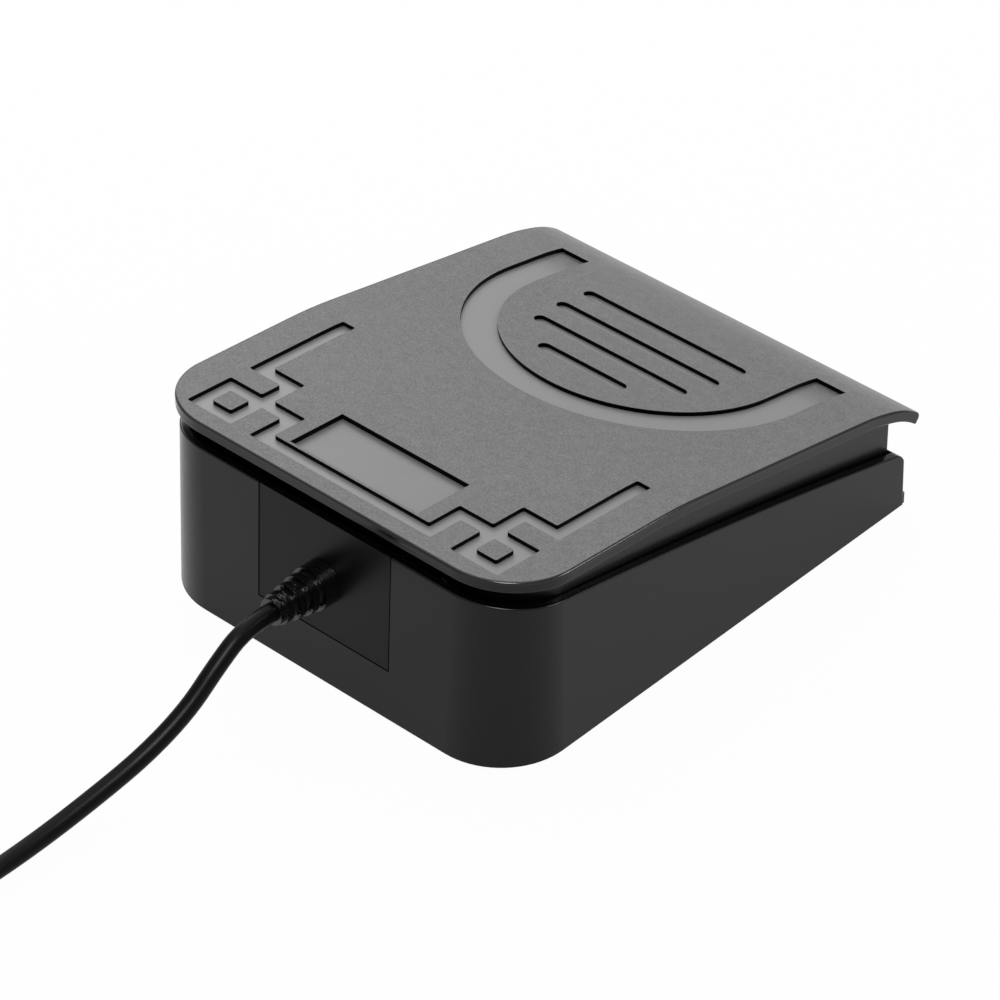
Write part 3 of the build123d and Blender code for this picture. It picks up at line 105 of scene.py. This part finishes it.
# Where the tread's finish changes, in metres, each as a start and an end
FLOOR_DEPTHS = (0.0006, 0.0009)
GROOVE_DEPTHS = (0.0013, 0.0016)
WINDOW_DEPTHS = (0.00105, 0.00115)
# Down to these depths the rounding of the plate's top edge is painted near black, as painted shade
EDGE_DEPTHS = (0.0004, 0.0006)
RIM_INSETS = (0.0006, 0.0004)
LIP_SETBACKS = (0.094, 0.112)
RELIEF_END_SETBACKS = (0.1015, 0.1115)

# How steep a wall of the relief is, from where it is painted black as shade to where it has the top's
# colour
WALL_FACINGS = (0.45, 0.75)

# The tread's gloss, and how much smoother its floors, rim, lip and edge are
TREAD_ROUGHNESS = 0.6
FLOOR_SMOOTHER = 0.16
RIM_SMOOTHER = 0.3
LIP_SMOOTHER = 0.2
EDGE_SMOOTHER = 0.12
TREAD_BUMP = 0.00009
# Near black painted on the relief's steep walls and on the top edge's rounding, as painted shade
WALL_SHADE_COLOUR = 0.0015
WINDOW_DARKER = 0.76

# The camera's film and the stage
SENSOR_WIDTH = 36.0
CLIP_START = 0.01
CLIP_END = 20.0
FLOOR_HALF_WIDTH = 4.0
FLOOR_SEEN_SHARE = 0.97
FLOOR_MIRRORED_SHARE = 0.6

# Each lamp's place, the point that it faces and its width, in metres
LAMPS = {
    "top_lamp": ((0.3, -0.2, 1.1), (0.0, 0.0, 0.0), 1.1),
    "key_lamp": ((0.72, -0.5, 0.52), (0.0, 0.0, 0.02), 0.5),
    "glint_lamp": ((-0.42, 0.42, 0.9), (0.0, 0.0, 0.02), 0.36),
    "edge_lamp": ((-0.75, -0.7, 0.68), (0.0, 0.0, 0.02), 0.3),
}
EDGE_LAMP_SHARE = 0.6


class Value:
    """A number or socket in a material, which Python's operators turn into Math nodes."""

    def __init__(self, shader, socket):
        self.shader = shader
        self.socket = socket

    def math(self, operation, *others):
        made = self.shader.node("ShaderNodeMath", {"operation": operation}, [self, *others])
        return Value(self.shader, made.outputs[0])

    def __add__(self, other):
        return self.math("ADD", other)

    def __sub__(self, other):
        return self.math("SUBTRACT", other)

    def __rsub__(self, other):
        return (self * -1.0) + other

    def __mul__(self, other):
        return self.math("MULTIPLY", other)

    def __truediv__(self, other):
        return self.math("DIVIDE", other)

    def __pow__(self, other):
        return self.math("POWER", other)

    def __abs__(self):
        return self.math("ABSOLUTE")

    __radd__ = __add__
    __rmul__ = __mul__

    def least(self, other):
        return self.math("MINIMUM", other)

    def most(self, other):
        return self.math("MAXIMUM", other)

    def clamped(self):
        return self.most(0.0).least(1.0)

    def rise(self, low, high):
        """0 below low, 1 above high and smooth between."""
        share = ((self - low) / (high - low)).clamped()
        return share * share * (3.0 - 2.0 * share)


class Shader:
    """A material whose nodes are made by one method."""

    def __init__(self, name):
        self.material = bpy.data.materials.new(name)
        self.material.use_nodes = True
        self.tree = self.material.node_tree
        self.tree.nodes.clear()

    def node(self, kind, settings=None, inputs=()):
        """A node of a type, its settings first, then its sockets by place or by name."""
        made = self.tree.nodes.new(kind)
        for key, value in (settings or {}).items():
            setattr(made, key, value)
        pairs = inputs.items() if isinstance(inputs, dict) else enumerate(inputs)
        for key, value in pairs:
            self.feed(made.inputs[key], value)
        return made

    def feed(self, socket, value):
        if isinstance(value, Value):
            value = value.socket
        if isinstance(value, bpy.types.NodeSocket):
            self.tree.links.new(value, socket)
        elif isinstance(value, (tuple, list)) and len(value) == 3 and len(socket.default_value) == 4:
            socket.default_value = (*value, 1.0)
        else:
            socket.default_value = value

    def place(self):
        """The point on the piece, in metres."""
        return self.node("ShaderNodeTexCoord").outputs["Object"]

    def parts(self, vector):
        """A vector's three values."""
        split = self.node("ShaderNodeSeparateXYZ", inputs=[vector])
        return [Value(self, output) for output in split.outputs]

    def facing(self):
        """How far the surface faces up on the piece at rest, from -1 to 1."""
        return self.parts(self.node("ShaderNodeTexCoord").outputs["Normal"])[2]

    def noise(self, point, size, detail=2.0, roughness=0.5):
        """Soft random spots of a size in metres, about 0.5 on average."""
        sockets = {"Vector": point, "Scale": 1.0 / size, "Detail": detail, "Roughness": roughness}
        return Value(self, self.node("ShaderNodeTexNoise", inputs=sockets).outputs["Fac"])

    def blend(self, share, first, second):
        """One colour or the other, by a share."""
        made = self.node("ShaderNodeMix", {"data_type": "RGBA"})
        self.feed(made.inputs[0], share)
        self.feed(made.inputs[6], first)
        self.feed(made.inputs[7], second)
        return made.outputs[2]

    def bump(self, height, depth):
        """A normal from a height of 0 to 1, of a depth in metres."""
        sockets = {"Height": height, "Distance": depth, "Strength": 1.0}
        return self.node("ShaderNodeBump", inputs=sockets).outputs[0]

    def surface(self, **sockets):
        """A Principled surface, with sockets named as words joined by an underscore."""
        named = {key.replace("_", " "): value for key, value in sockets.items()}
        made = self.node("ShaderNodeBsdfPrincipled", inputs=named)
        self.node("ShaderNodeOutputMaterial", inputs=[made.outputs[0]])
        return self.material


def grey(level):
    return (level, level, level)


def cad_piece(name):
    """The CAD piece of a name, which a material is given to."""
    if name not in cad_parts:
        raise RuntimeError(f"the frame has no piece named {name}")
    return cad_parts[name]


def give(material, *names):
    """Put one material on CAD pieces."""
    for name in names:
        slots = cad_piece(name).data.materials
        slots.clear()
        slots.append(material)


def grained(name, colour, roughness, grain, depth, sheen=0.5, patch=0.0):
    """A moulded plastic with a fine grain and a slow change of gloss."""
    shader = Shader(name)
    point = shader.place()
    spots = shader.noise(point, grain)
    slow = shader.noise(point, PATCH_SIZE, 1.0)
    return shader.surface(
        Base_Color=colour,
        Roughness=(roughness + (slow - 0.5) * patch).clamped(),
        Specular_IOR_Level=sheen,
        Normal=shader.bump(spots, depth),
    )


def metal(name, colour, roughness):
    """A bright metal with faint streaks."""
    shader = Shader(name)
    streak = shader.noise(shader.place(), STREAK_SIZE)
    return shader.surface(
        Base_Color=colour,
        Metallic=1.0,
        Roughness=(roughness + (streak - 0.5) * STREAK_CHANGE).clamped(),
    )


class FootPedalColours(bpy.types.PropertyGroup):
    """Colours and grain of the pedal's plastics."""

    # The tread's grey is partly the plate's own colour and partly painted sheen
    tread: bpy.props.FloatVectorProperty(
        name="Tread",
        description="Textured top plate",
        default=(0.147, 0.147, 0.149),
        subtype="COLOR",
        min=0,
        max=1,
    )
    # The recess floors' lighter grey is partly their own colour and partly painted sheen of their smoother
    # surface
    recess: bpy.props.FloatVectorProperty(
        name="Recess",
        description="Smooth floors of the tread's relief",
        default=(0.245, 0.245, 0.245),
        subtype="COLOR",
        min=0,
        max=1,
    )
    plate_side: bpy.props.FloatVectorProperty(
        name="Plate side",
        description="Smooth edge of the top plate",
        default=(0.006, 0.006, 0.0061),
        subtype="COLOR",
        min=0,
        max=1,
    )
    housing: bpy.props.FloatVectorProperty(
        name="Housing",
        description="Housing and its insert",
        default=(0.0015, 0.0015, 0.0016),
        subtype="COLOR",
        min=0,
        max=1,
    )
    cable: bpy.props.FloatVectorProperty(
        name="Cable",
        description="Cable jacket and strain relief",
        default=(0.0015, 0.0015, 0.0016),
        subtype="COLOR",
        min=0,
        max=1,
    )
    grain: bpy.props.FloatProperty(
        name="Grain",
        description="Size of the tread's grain",
        default=0.00045,
        subtype="DISTANCE",
        unit="LENGTH",
    )


class FootPedalSizes(bpy.types.PropertyGroup):
    """Sizes of the pieces that Blender makes."""

    cable_diameter: bpy.props.FloatProperty(
        name="Cable diameter",
        description="Thickness of the cable",
        default=0.004,
        subtype="DISTANCE",
        unit="LENGTH",
    )
    cable_length: bpy.props.FloatProperty(
        name="Cable length",
        description="Length from the strain relief to the plug",
        default=2.0,
        subtype="DISTANCE",
        unit="LENGTH",
    )


class FootPedalStage(bpy.types.PropertyGroup):
    """The camera, the floor and the lamps."""

    lens: bpy.props.FloatProperty(
        name="Lens",
        description="Focal length in millimetres",
        default=164.1023,
    )
    azimuth: bpy.props.FloatProperty(
        name="Azimuth",
        description="Camera's turn round the object",
        default=math.radians(222.5657),
        subtype="ANGLE",
        unit="ROTATION",
    )
    elevation: bpy.props.FloatProperty(
        name="Elevation",
        description="Camera's angle above the horizon",
        default=math.radians(37.5463),
        subtype="ANGLE",
        unit="ROTATION",
    )
    roll: bpy.props.FloatProperty(
        name="Roll",
        description="Camera's turn about its own line",
        default=math.radians(-0.1526),
        subtype="ANGLE",
        unit="ROTATION",
    )
    distance: bpy.props.FloatProperty(
        name="Distance",
        description="From the point looked at to the camera",
        default=0.93618526,
        subtype="DISTANCE",
        unit="LENGTH",
    )
    aside: bpy.props.FloatProperty(
        name="Aside",
        description="How far right of the middle the object stands",
        default=0.0061018,
        subtype="DISTANCE",
        unit="LENGTH",
    )
    above: bpy.props.FloatProperty(
        name="Above",
        description="How far above the middle the object stands",
        default=0.0077069,
        subtype="DISTANCE",
        unit="LENGTH",
    )
    target: bpy.props.FloatVectorProperty(
        name="Target",
        description="Point that the camera's distance is taken from",
        default=(0.0, 0.001525, 0.0208),
        subtype="XYZ",
    )
    floor_colour: bpy.props.FloatVectorProperty(
        name="Floor",
        description="Colour of the floor",
        default=(0.86, 0.86, 0.86),
        subtype="COLOR",
        min=0,
        max=1,
    )
    world_level: bpy.props.FloatProperty(
        name="World level",
        description="Strength of the soft light",
        default=0.56,
    )
    top_lamp: bpy.props.FloatProperty(
        name="Top lamp",
        description="Power of the wide lamp above",
        default=4.6,
        unit="POWER",
    )
    key_lamp: bpy.props.FloatProperty(
        name="Key lamp",
        description="Power of the lamp at the toe's side",
        default=2.8,
        unit="POWER",
    )
    glint_lamp: bpy.props.FloatProperty(
        name="Glint lamp",
        description="Power of the lamp that only shows on glossy edges",
        default=8.0,
        unit="POWER",
    )


class FOOTPEDAL_OT_cable(bpy.types.Operator):
    """Lay the cable: the free stretch, then the put-away coil"""

    bl_idname = "footpedal.cable"
    bl_label = "Cable"

    def execute(self, context):
        sizes = context.scene.foot_pedal_sizes
        colours = context.scene.foot_pedal_colours
        route = [CABLE_EXIT, *CABLE_ROUTE, *coil_points()]
        curve = bpy.data.curves.new("cable_line", "CURVE")
        curve.dimensions = "3D"
        spline = curve.splines.new("NURBS")
        spline.points.add(len(route) - 1)
        for point, place in zip(spline.points, route):
            point.co = (*(value * MM for value in place), 1.0)
        spline.order_u = 3
        spline.use_endpoint_u = True
        spline.resolution_u = 6
        curve.bevel_depth = sizes.cable_diameter / 2
        curve.bevel_resolution = 5
        curve.use_fill_caps = True
        cable = bpy.data.objects.new("cable", curve)
        context.scene.collection.objects.link(cable)

        shader = Shader("cable_jacket")
        waves = shader.noise(shader.place(), WAVE_SIZE, 1.0)
        jacket = shader.surface(
            Base_Color=tuple(colours.cable),
            Roughness=(JACKET_ROUGHNESS + (waves - 0.5) * WAVE_CHANGE).clamped(),
            Specular_IOR_Level=JACKET_SHEEN,
        )
        curve.materials.append(jacket)
        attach(cable, "base")
        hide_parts("usb_cable", "cable_coil")
        give(jacket, "usb_cable", "cable_coil", "inner_cable")
        return {"FINISHED"}


def coil_points():
    """The coil's points: half turns that spiral in and out by layers, then the bend to the plug."""
    coil_x = CABLE_ROUTE[-1][0] + COIL_RADIUS
    places, levels = [COIL_RADIUS], [COIL_Z]
    for layer in range(COIL_LAYERS):
        step = -COIL_PITCH / 2 if layer % 2 == 0 else COIL_PITCH / 2
        for turn in range(LAYER_HALF_TURNS):
            places.append(places[-1] + step)
            levels.append(levels[-1])
        places.append(places[-1])
        levels.append(levels[-1] + LAYER_HEIGHT)
    levels[-1] = TOP_LEVEL
    step_angle = math.pi / POINTS_PER_HALF_TURN
    swell = 1 / math.cos(step_angle / 2)
    points = []
    for turn, (near, far, low, high) in enumerate(zip(places, places[1:], levels, levels[1:])):
        side = -1 if turn % 2 == 0 else 1
        start = Vector((coil_x + side * near, COIL_Y, low))
        end = Vector((coil_x - side * far, COIL_Y, high))
        middle = (start + end) / 2
        reach = (end - start).length / 2
        for step in range(POINTS_PER_HALF_TURN):
            angle = (step + 0.5) * step_angle
            along = (start - middle) * math.cos(angle) + Vector((0, -side * reach, 0)) * math.sin(angle)
            points.append(middle + along * swell)
    centre = end + Vector((TOP_BEND_RADIUS, 0, 0))
    for step in range(POINTS_PER_HALF_TURN // 2):
        angle = (step + 0.5) * step_angle
        points.append(centre + Vector((-math.cos(angle), math.sin(angle), 0)) * TOP_BEND_RADIUS * swell)
    points.append(centre + Vector((PLUG_RUN / 2, TOP_BEND_RADIUS, 0)))
    points.append(centre + Vector((PLUG_RUN, TOP_BEND_RADIUS, 0)))
    return [tuple(point) for point in points]


class FOOTPEDAL_OT_tread(bpy.types.Operator):
    """Finish the top plate: grained top, smooth relief floors and smooth sides, with painted shade on steep
    walls and painted sheen in its greys
    """

    bl_idname = "footpedal.tread"
    bl_label = "Tread plate"

    rear_y: bpy.props.FloatProperty(
        name="Rear edge",
        description="Place of the plate's rear edge",
        default=plate_high[1],
        subtype="DISTANCE",
        unit="LENGTH",
    )
    rear_z: bpy.props.FloatProperty(
        name="Rear height",
        description="Height of the plate's top at its rear edge",
        default=0.0468,
        subtype="DISTANCE",
        unit="LENGTH",
    )
    half_width: bpy.props.FloatProperty(
        name="Half width",
        description="Half of the plate's width",
        default=plate_high[0],
        subtype="DISTANCE",
        unit="LENGTH",
    )
    corner: bpy.props.FloatProperty(
        name="Corner radius",
        description="Radius of the plate's rear corners",
        default=0.0159,
        subtype="DISTANCE",
        unit="LENGTH",
    )
    kink: bpy.props.FloatProperty(
        name="Kink",
        description="From the rear edge to where the slope changes",
        default=0.04784,
        subtype="DISTANCE",
        unit="LENGTH",
    )
    rear_slope: bpy.props.FloatProperty(
        name="Rear slope",
        description="Slope of the plate's rear part",
        default=math.radians(5.35),
        subtype="ANGLE",
        unit="ROTATION",
    )
    front_slope: bpy.props.FloatProperty(
        name="Front slope",
        description="Slope of the plate's front part",
        default=math.radians(11.22),
        subtype="ANGLE",
        unit="ROTATION",
    )

    def execute(self, context):
        colours = context.scene.foot_pedal_colours
        shader = Shader("tread")
        point = shader.place()
        x, y, z = shader.parts(point)
        setback = self.rear_y - y
        rear_top = self.rear_z - setback * math.tan(self.rear_slope)
        kink_z = self.rear_z - self.kink * math.tan(self.rear_slope)
        front_top = kink_z - (setback - self.kink) * math.tan(self.front_slope)
        depth = (rear_top.least(front_top) - z) * math.cos(self.front_slope)
        relief = 1.0 - setback.rise(*RELIEF_END_SETBACKS)
        floor = depth.rise(*FLOOR_DEPTHS) * (1.0 - depth.rise(*GROOVE_DEPTHS)) * relief
        across = (abs(x) - (self.half_width - self.corner)).most(0.0)
        along = (y - (self.rear_y - self.corner)).most(0.0)
        reach = (across * across + along * along) ** 0.5
        rim = reach.rise(*(self.corner - inset for inset in RIM_INSETS))
        # Steep walls and the top edge's rounding are painted near black and made metallic, as painted shade
        steep = 1.0 - abs(shader.facing()).rise(*WALL_FACINGS)
        wall = steep * (1.0 - rim)
        grain = shader.noise(point, colours.grain, 2.0, 0.6)
        coarse = shader.noise(point, colours.grain * 5, 2.0)
        mottle = shader.noise(point, 0.02, 2.0)
        speckle = ((grain - 0.5) * 2.4 + (coarse - 0.5) * 0.7 + 0.5).clamped()
        # Top and recess greys are partly own colour and partly painted sheen; the smoother recess floors
        # are painted lighter
        top_colour_and_sheen = shader.blend(
            speckle,
            tuple(value * 0.7 for value in colours.tread),
            tuple(value * 1.3 for value in colours.tread),
        )
        recess_colour_and_sheen = shader.blend(
            depth.rise(*WINDOW_DEPTHS),
            tuple(colours.recess),
            tuple(value * WINDOW_DARKER for value in colours.recess),
        )
        colour = shader.blend(floor, top_colour_and_sheen, recess_colour_and_sheen)
        edge = rim * (1.0 - depth.rise(*EDGE_DEPTHS))
        colour = shader.blend(rim, colour, tuple(colours.plate_side))
        colour = shader.blend((wall + edge).clamped(), colour, grey(WALL_SHADE_COLOUR))
        lip = setback.rise(*LIP_SETBACKS)
        rough = TREAD_ROUGHNESS + (mottle - 0.5) * 0.1 - floor * FLOOR_SMOOTHER
        rough = rough - (rim * RIM_SMOOTHER + lip * LIP_SMOOTHER).clamped() - edge * EDGE_SMOOTHER
        smooth = (floor * 0.85 + rim * 0.9 + lip * 0.7 + wall).clamped()
        height = (grain * 0.7 + coarse * 0.3) * (1.0 - smooth)
        material = shader.surface(
            Base_Color=colour,
            Roughness=rough.clamped(),
            Metallic=(wall + (rim - edge) * 0.45).clamped(),
            Specular_IOR_Level=0.5,
            Normal=shader.bump(height, TREAD_BUMP),
        )
        give(material, "pedal_plate")
        return {"FINISHED"}


class FOOTPEDAL_OT_housing(bpy.types.Operator):
    """Finish the housing, its insert, the cover and the pedal's frame"""

    bl_idname = "footpedal.housing"
    bl_label = "Housing"

    def execute(self, context):
        black = tuple(context.scene.foot_pedal_colours.housing)
        housing = grained("housing", black, 0.24, grain=0.0005, depth=0.000004, sheen=0.25, patch=0.06)
        insert = grained("insert", black, 0.34, grain=0.0004, depth=0.00001, sheen=0.16, patch=0.06)
        cover = grained("cover", black, 0.5, grain=0.0006, depth=0.00003, sheen=0.4)
        frame_plastic = grained(
            "frame_plastic", grey(0.003), 0.28, grain=0.0008, depth=0.000006, sheen=0.27, patch=0.06
        )
        give(housing, "base_shell")
        give(insert, "cable_panel")
        give(cover, "bottom_cover")
        give(frame_plastic, "pedal_frame")
        return {"FINISHED"}


class FOOTPEDAL_OT_cable_pieces(bpy.types.Operator):
    """Finish the strain relief, the tie and the plug"""

    bl_idname = "footpedal.cable_pieces"
    bl_label = "Strain relief and plug"

    def execute(self, context):
        black = tuple(context.scene.foot_pedal_colours.cable)
        relief = grained("relief_rubber", black, 0.16, grain=0.0006, depth=0.00009, sheen=0.62, patch=0.06)
        give(relief, "strain_relief")
        grip = grained("plug_plastic", grey(0.012), 0.4, grain=0.0005, depth=0.00002)
        give(grip, "plug_grip", "coil_tie")
        give(metal("plug_tin", grey(0.62), 0.25), "plug_shell")
        give(grained("plug_white", grey(0.7), 0.45, grain=0.001, depth=0.00001), "plug_tongue")
        give(metal("gold", (0.85, 0.62, 0.27), 0.25), "plug_contacts")
        return {"FINISHED"}


class FOOTPEDAL_OT_hardware(bpy.types.Operator):
    """Finish the feet, stops, axle, clips and screws"""

    bl_idname = "footpedal.hardware"
    bl_label = "Feet, axle and screws"

    def execute(self, context):
        rubber = grained("foot_rubber", grey(0.02), 0.75, grain=0.0006, depth=0.00004)
        give(rubber, "rear_left_foot", "rear_right_foot", "front_left_foot", "front_right_foot")
        give(rubber, "left_bump_stop", "right_bump_stop")
        steel = metal("steel", grey(0.56), 0.34)
        give(steel, "cover_screws", "plate_screws", "board_screws", "clamp_screws", "switch_screws")
        give(steel, "hinge_axle", "cable_clamp")
        give(metal("spring_steel", grey(0.45), 0.24), "axle_clips", "switch_lever")
        return {"FINISHED"}


class FOOTPEDAL_OT_springs(bpy.types.Operator):
    """Wind the two return springs at rest, each filling its CAD spring's box"""

    bl_idname = "footpedal.springs"
    bl_label = "Return springs"

    def execute(self, context):
        for name in ("left_spring", "right_spring"):
            low, high = (Vector(corner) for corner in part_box(name))
            spring = self.wind(context, name, low, high)
            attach(spring, "base")
            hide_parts(name)
            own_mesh(spring)
        return {"FINISHED"}

    def wind(self, context, name, low, high):
        """A tube round a helix that fills the CAD spring's box."""
        radius = (high.x - low.x - SPRING_WIRE) / 2
        rise = high.z - low.z - SPRING_WIRE
        steps = SPRING_TURNS * SPRING_POINTS_PER_TURN
        curve = bpy.data.curves.new(name + "_line", "CURVE")
        curve.dimensions = "3D"
        spline = curve.splines.new("POLY")
        spline.points.add(steps)
        for step, point in enumerate(spline.points):
            angle = 2 * math.pi * step / SPRING_POINTS_PER_TURN
            x = (low.x + high.x) / 2 + radius * math.cos(angle)
            y = (low.y + high.y) / 2 + radius * math.sin(angle)
            z = low.z + SPRING_WIRE / 2 + rise * step / steps
            point.co = (x, y, z, 1.0)
        curve.bevel_depth = SPRING_WIRE / 2
        curve.bevel_resolution = 3
        curve.use_fill_caps = True
        line = bpy.data.objects.new(name + "_line", curve)
        mesh = bpy.data.meshes.new_from_object(line)
        bpy.data.objects.remove(line)
        mesh.polygons.foreach_set("use_smooth", [True] * len(mesh.polygons))
        mesh.materials.clear()
        mesh.materials.append(bpy.data.materials["spring_steel"])
        spring = bpy.data.objects.new("wound_" + name, mesh)
        context.scene.collection.objects.link(spring)
        return spring


class FOOTPEDAL_OT_inside(bpy.types.Operator):
    """Finish the switch, the circuit board and the wires"""

    bl_idname = "footpedal.inside"
    bl_label = "Switch, board and wires"

    def execute(self, context):
        give(grained("switch_case", grey(0.02), 0.45, grain=0.0005, depth=0.00002), "switch_body")
        give(grained("switch_cap_red", (0.42, 0.03, 0.02), 0.45, grain=0.0005, depth=0.00002), "switch_cap")
        nylon = grained("white_nylon", (0.72, 0.70, 0.64), 0.4, grain=0.0008, depth=0.00001)
        give(nylon, "switch_plunger", "cable_header", "cable_plug", "switch_header", "switch_plug")
        green = grained("board_green", (0.02, 0.16, 0.05), 0.3, grain=0.001, depth=0.000005)
        give(green, "circuit_board")
        give(grained("chip_black", grey(0.02), 0.5, grain=0.0003, depth=0.00001), "controller_chip")
        give(grained("ceramic", (0.36, 0.24, 0.13), 0.5, grain=0.0005, depth=0.00001), "chip_parts")
        give(metal("tin", grey(0.7), 0.28), "chip_leads", "crystal", "switch_terminals")
        wires = {
            "wire_red": ((0.5, 0.02, 0.015), ("red_wire", "common_wire")),
            "wire_white": (grey(0.7), ("white_wire",)),
            "wire_green": ((0.02, 0.26, 0.05), ("green_wire",)),
            "wire_black": (grey(0.012), ("black_wire", "contact_wire")),
        }
        for name, (colour, pieces) in wires.items():
            give(grained(name, colour, 0.4, grain=0.001, depth=0.000005), *pieces)
        return {"FINISHED"}


class FOOTPEDAL_OT_stage(bpy.types.Operator):
    """Set up the camera, the floor, the world and the lamps"""

    bl_idname = "footpedal.stage"
    bl_label = "Stage"

    def execute(self, context):
        stage = context.scene.foot_pedal_stage
        self.set_camera(context, stage)
        self.set_floor(context, stage)
        self.set_world(context, stage)
        self.set_lamps(context, stage)
        context.scene.view_settings.view_transform = "Standard"
        return {"FINISHED"}

    def set_camera(self, context, stage):
        back = Vector((
            math.sin(stage.azimuth) * math.cos(stage.elevation),
            -math.cos(stage.azimuth) * math.cos(stage.elevation),
            math.sin(stage.elevation),
        ))
        level = Vector((math.cos(stage.azimuth), math.sin(stage.azimuth), 0.0))
        upright = back.cross(level)
        right = level * math.cos(stage.roll) + upright * math.sin(stage.roll)
        up = upright * math.cos(stage.roll) - level * math.sin(stage.roll)
        place = Vector(stage.target) - right * stage.aside - up * stage.above + back * stage.distance
        data = bpy.data.cameras.new("photo_camera")
        data.sensor_width = SENSOR_WIDTH
        data.lens = stage.lens
        data.clip_start = CLIP_START
        data.clip_end = CLIP_END
        camera = bpy.data.objects.new("photo_camera", data)
        turn = Matrix((right, up, back)).transposed().to_4x4()
        camera.matrix_world = Matrix.Translation(place) @ turn
        context.scene.collection.objects.link(camera)
        context.scene.camera = camera

    def set_floor(self, context, stage):
        half = FLOOR_HALF_WIDTH
        mesh = bpy.data.meshes.new("floor")
        corners = [(-half, -half, 0), (half, -half, 0), (half, half, 0), (-half, half, 0)]
        mesh.from_pydata(corners, [], [(0, 1, 2, 3)])
        floor = bpy.data.objects.new("floor", mesh)
        context.scene.collection.objects.link(floor)
        shader = Shader("floor")
        paths = shader.node("ShaderNodeLightPath")
        camera = Value(shader, paths.outputs["Is Camera Ray"])
        seen = camera.most(paths.outputs["Is Transmission Ray"])
        plain = shader.node("ShaderNodeBsdfDiffuse", inputs={"Color": tuple(stage.floor_colour)})
        white = shader.node("ShaderNodeEmission", inputs={"Color": grey(1.0), "Strength": 1.0})
        mirrored = Value(shader, paths.outputs["Is Glossy Ray"])
        share = seen * FLOOR_SEEN_SHARE + mirrored * FLOOR_MIRRORED_SHARE
        sides = [share.clamped(), plain.outputs[0], white.outputs[0]]
        mixed = shader.node("ShaderNodeMixShader", inputs=sides)
        shader.node("ShaderNodeOutputMaterial", inputs=[mixed.outputs[0]])
        mesh.materials.append(shader.material)

    def set_world(self, context, stage):
        world = bpy.data.worlds.new("studio")
        context.scene.world = world
        world.use_nodes = True
        tree = world.node_tree
        tree.nodes.clear()
        paths = tree.nodes.new("ShaderNodeLightPath")
        seen = tree.nodes.new("ShaderNodeMath")
        seen.operation = "MAXIMUM"
        tree.links.new(paths.outputs["Is Camera Ray"], seen.inputs[0])
        tree.links.new(paths.outputs["Is Transmission Ray"], seen.inputs[1])
        soft = tree.nodes.new("ShaderNodeBackground")
        soft.inputs["Strength"].default_value = stage.world_level
        soft.inputs["Color"].default_value = (*grey(1.0), 1.0)
        white = tree.nodes.new("ShaderNodeBackground")
        white.inputs["Color"].default_value = (*grey(1.0), 1.0)
        mixed = tree.nodes.new("ShaderNodeMixShader")
        output = tree.nodes.new("ShaderNodeOutputWorld")
        tree.links.new(seen.outputs[0], mixed.inputs[0])
        tree.links.new(soft.outputs[0], mixed.inputs[1])
        tree.links.new(white.outputs[0], mixed.inputs[2])
        tree.links.new(mixed.outputs[0], output.inputs[0])

    def set_lamps(self, context, stage):
        powers = {
            "top_lamp": stage.top_lamp,
            "key_lamp": stage.key_lamp,
            "glint_lamp": stage.glint_lamp,
            "edge_lamp": stage.glint_lamp * EDGE_LAMP_SHARE,
        }
        for name, (place, target, size) in LAMPS.items():
            data = bpy.data.lights.new(name, "AREA")
            data.shape = "SQUARE"
            data.size = size
            data.energy = powers[name]
            lamp = bpy.data.objects.new(name, data)
            lamp.location = place
            direction = Vector(place) - Vector(target)
            lamp.rotation_euler = direction.to_track_quat("Z", "Y").to_euler()
            lamp.visible_diffuse = name not in ("glint_lamp", "edge_lamp")
            context.scene.collection.objects.link(lamp)


class FOOTPEDAL_PT_panel(bpy.types.Panel):
    """The pedal's pieces and the stage, in the order in which they are made"""

    bl_idname = "FOOTPEDAL_PT_panel"
    bl_label = "Foot Pedal Switch"
    bl_space_type = "VIEW_3D"
    bl_region_type = "UI"
    bl_category = "Foot Pedal"

    def draw(self, context):
        for operator in OPERATORS:
            self.layout.operator(operator.bl_idname)
        for key in GROUPS:
            group = getattr(context.scene, key)
            box = self.layout.box()
            for name in group.__annotations__:
                box.prop(group, name)


OPERATORS = (
    FOOTPEDAL_OT_cable,
    FOOTPEDAL_OT_tread,
    FOOTPEDAL_OT_housing,
    FOOTPEDAL_OT_cable_pieces,
    FOOTPEDAL_OT_hardware,
    FOOTPEDAL_OT_springs,
    FOOTPEDAL_OT_inside,
    FOOTPEDAL_OT_stage,
)
GROUPS = {
    "foot_pedal_colours": FootPedalColours,
    "foot_pedal_sizes": FootPedalSizes,
    "foot_pedal_stage": FootPedalStage,
}


def register():
    for group in (*GROUPS.values(), *OPERATORS, FOOTPEDAL_PT_panel):
        bpy.utils.register_class(group)
    for name, group in GROUPS.items():
        setattr(bpy.types.Scene, name, bpy.props.PointerProperty(type=group))


def unregister():
    for name in GROUPS:
        delattr(bpy.types.Scene, name)
    for group in (FOOTPEDAL_PT_panel, *reversed(OPERATORS), *reversed(GROUPS.values())):
        bpy.utils.unregister_class(group)


def main():
    register()
    bpy.ops.footpedal.stage()
    bpy.ops.footpedal.cable()
    bpy.ops.footpedal.tread()
    bpy.ops.footpedal.housing()
    bpy.ops.footpedal.cable_pieces()
    bpy.ops.footpedal.hardware()
    bpy.ops.footpedal.springs()
    bpy.ops.footpedal.inside()
    bpy.context.view_layer.update()


if __name__ == "__main__":
    main()
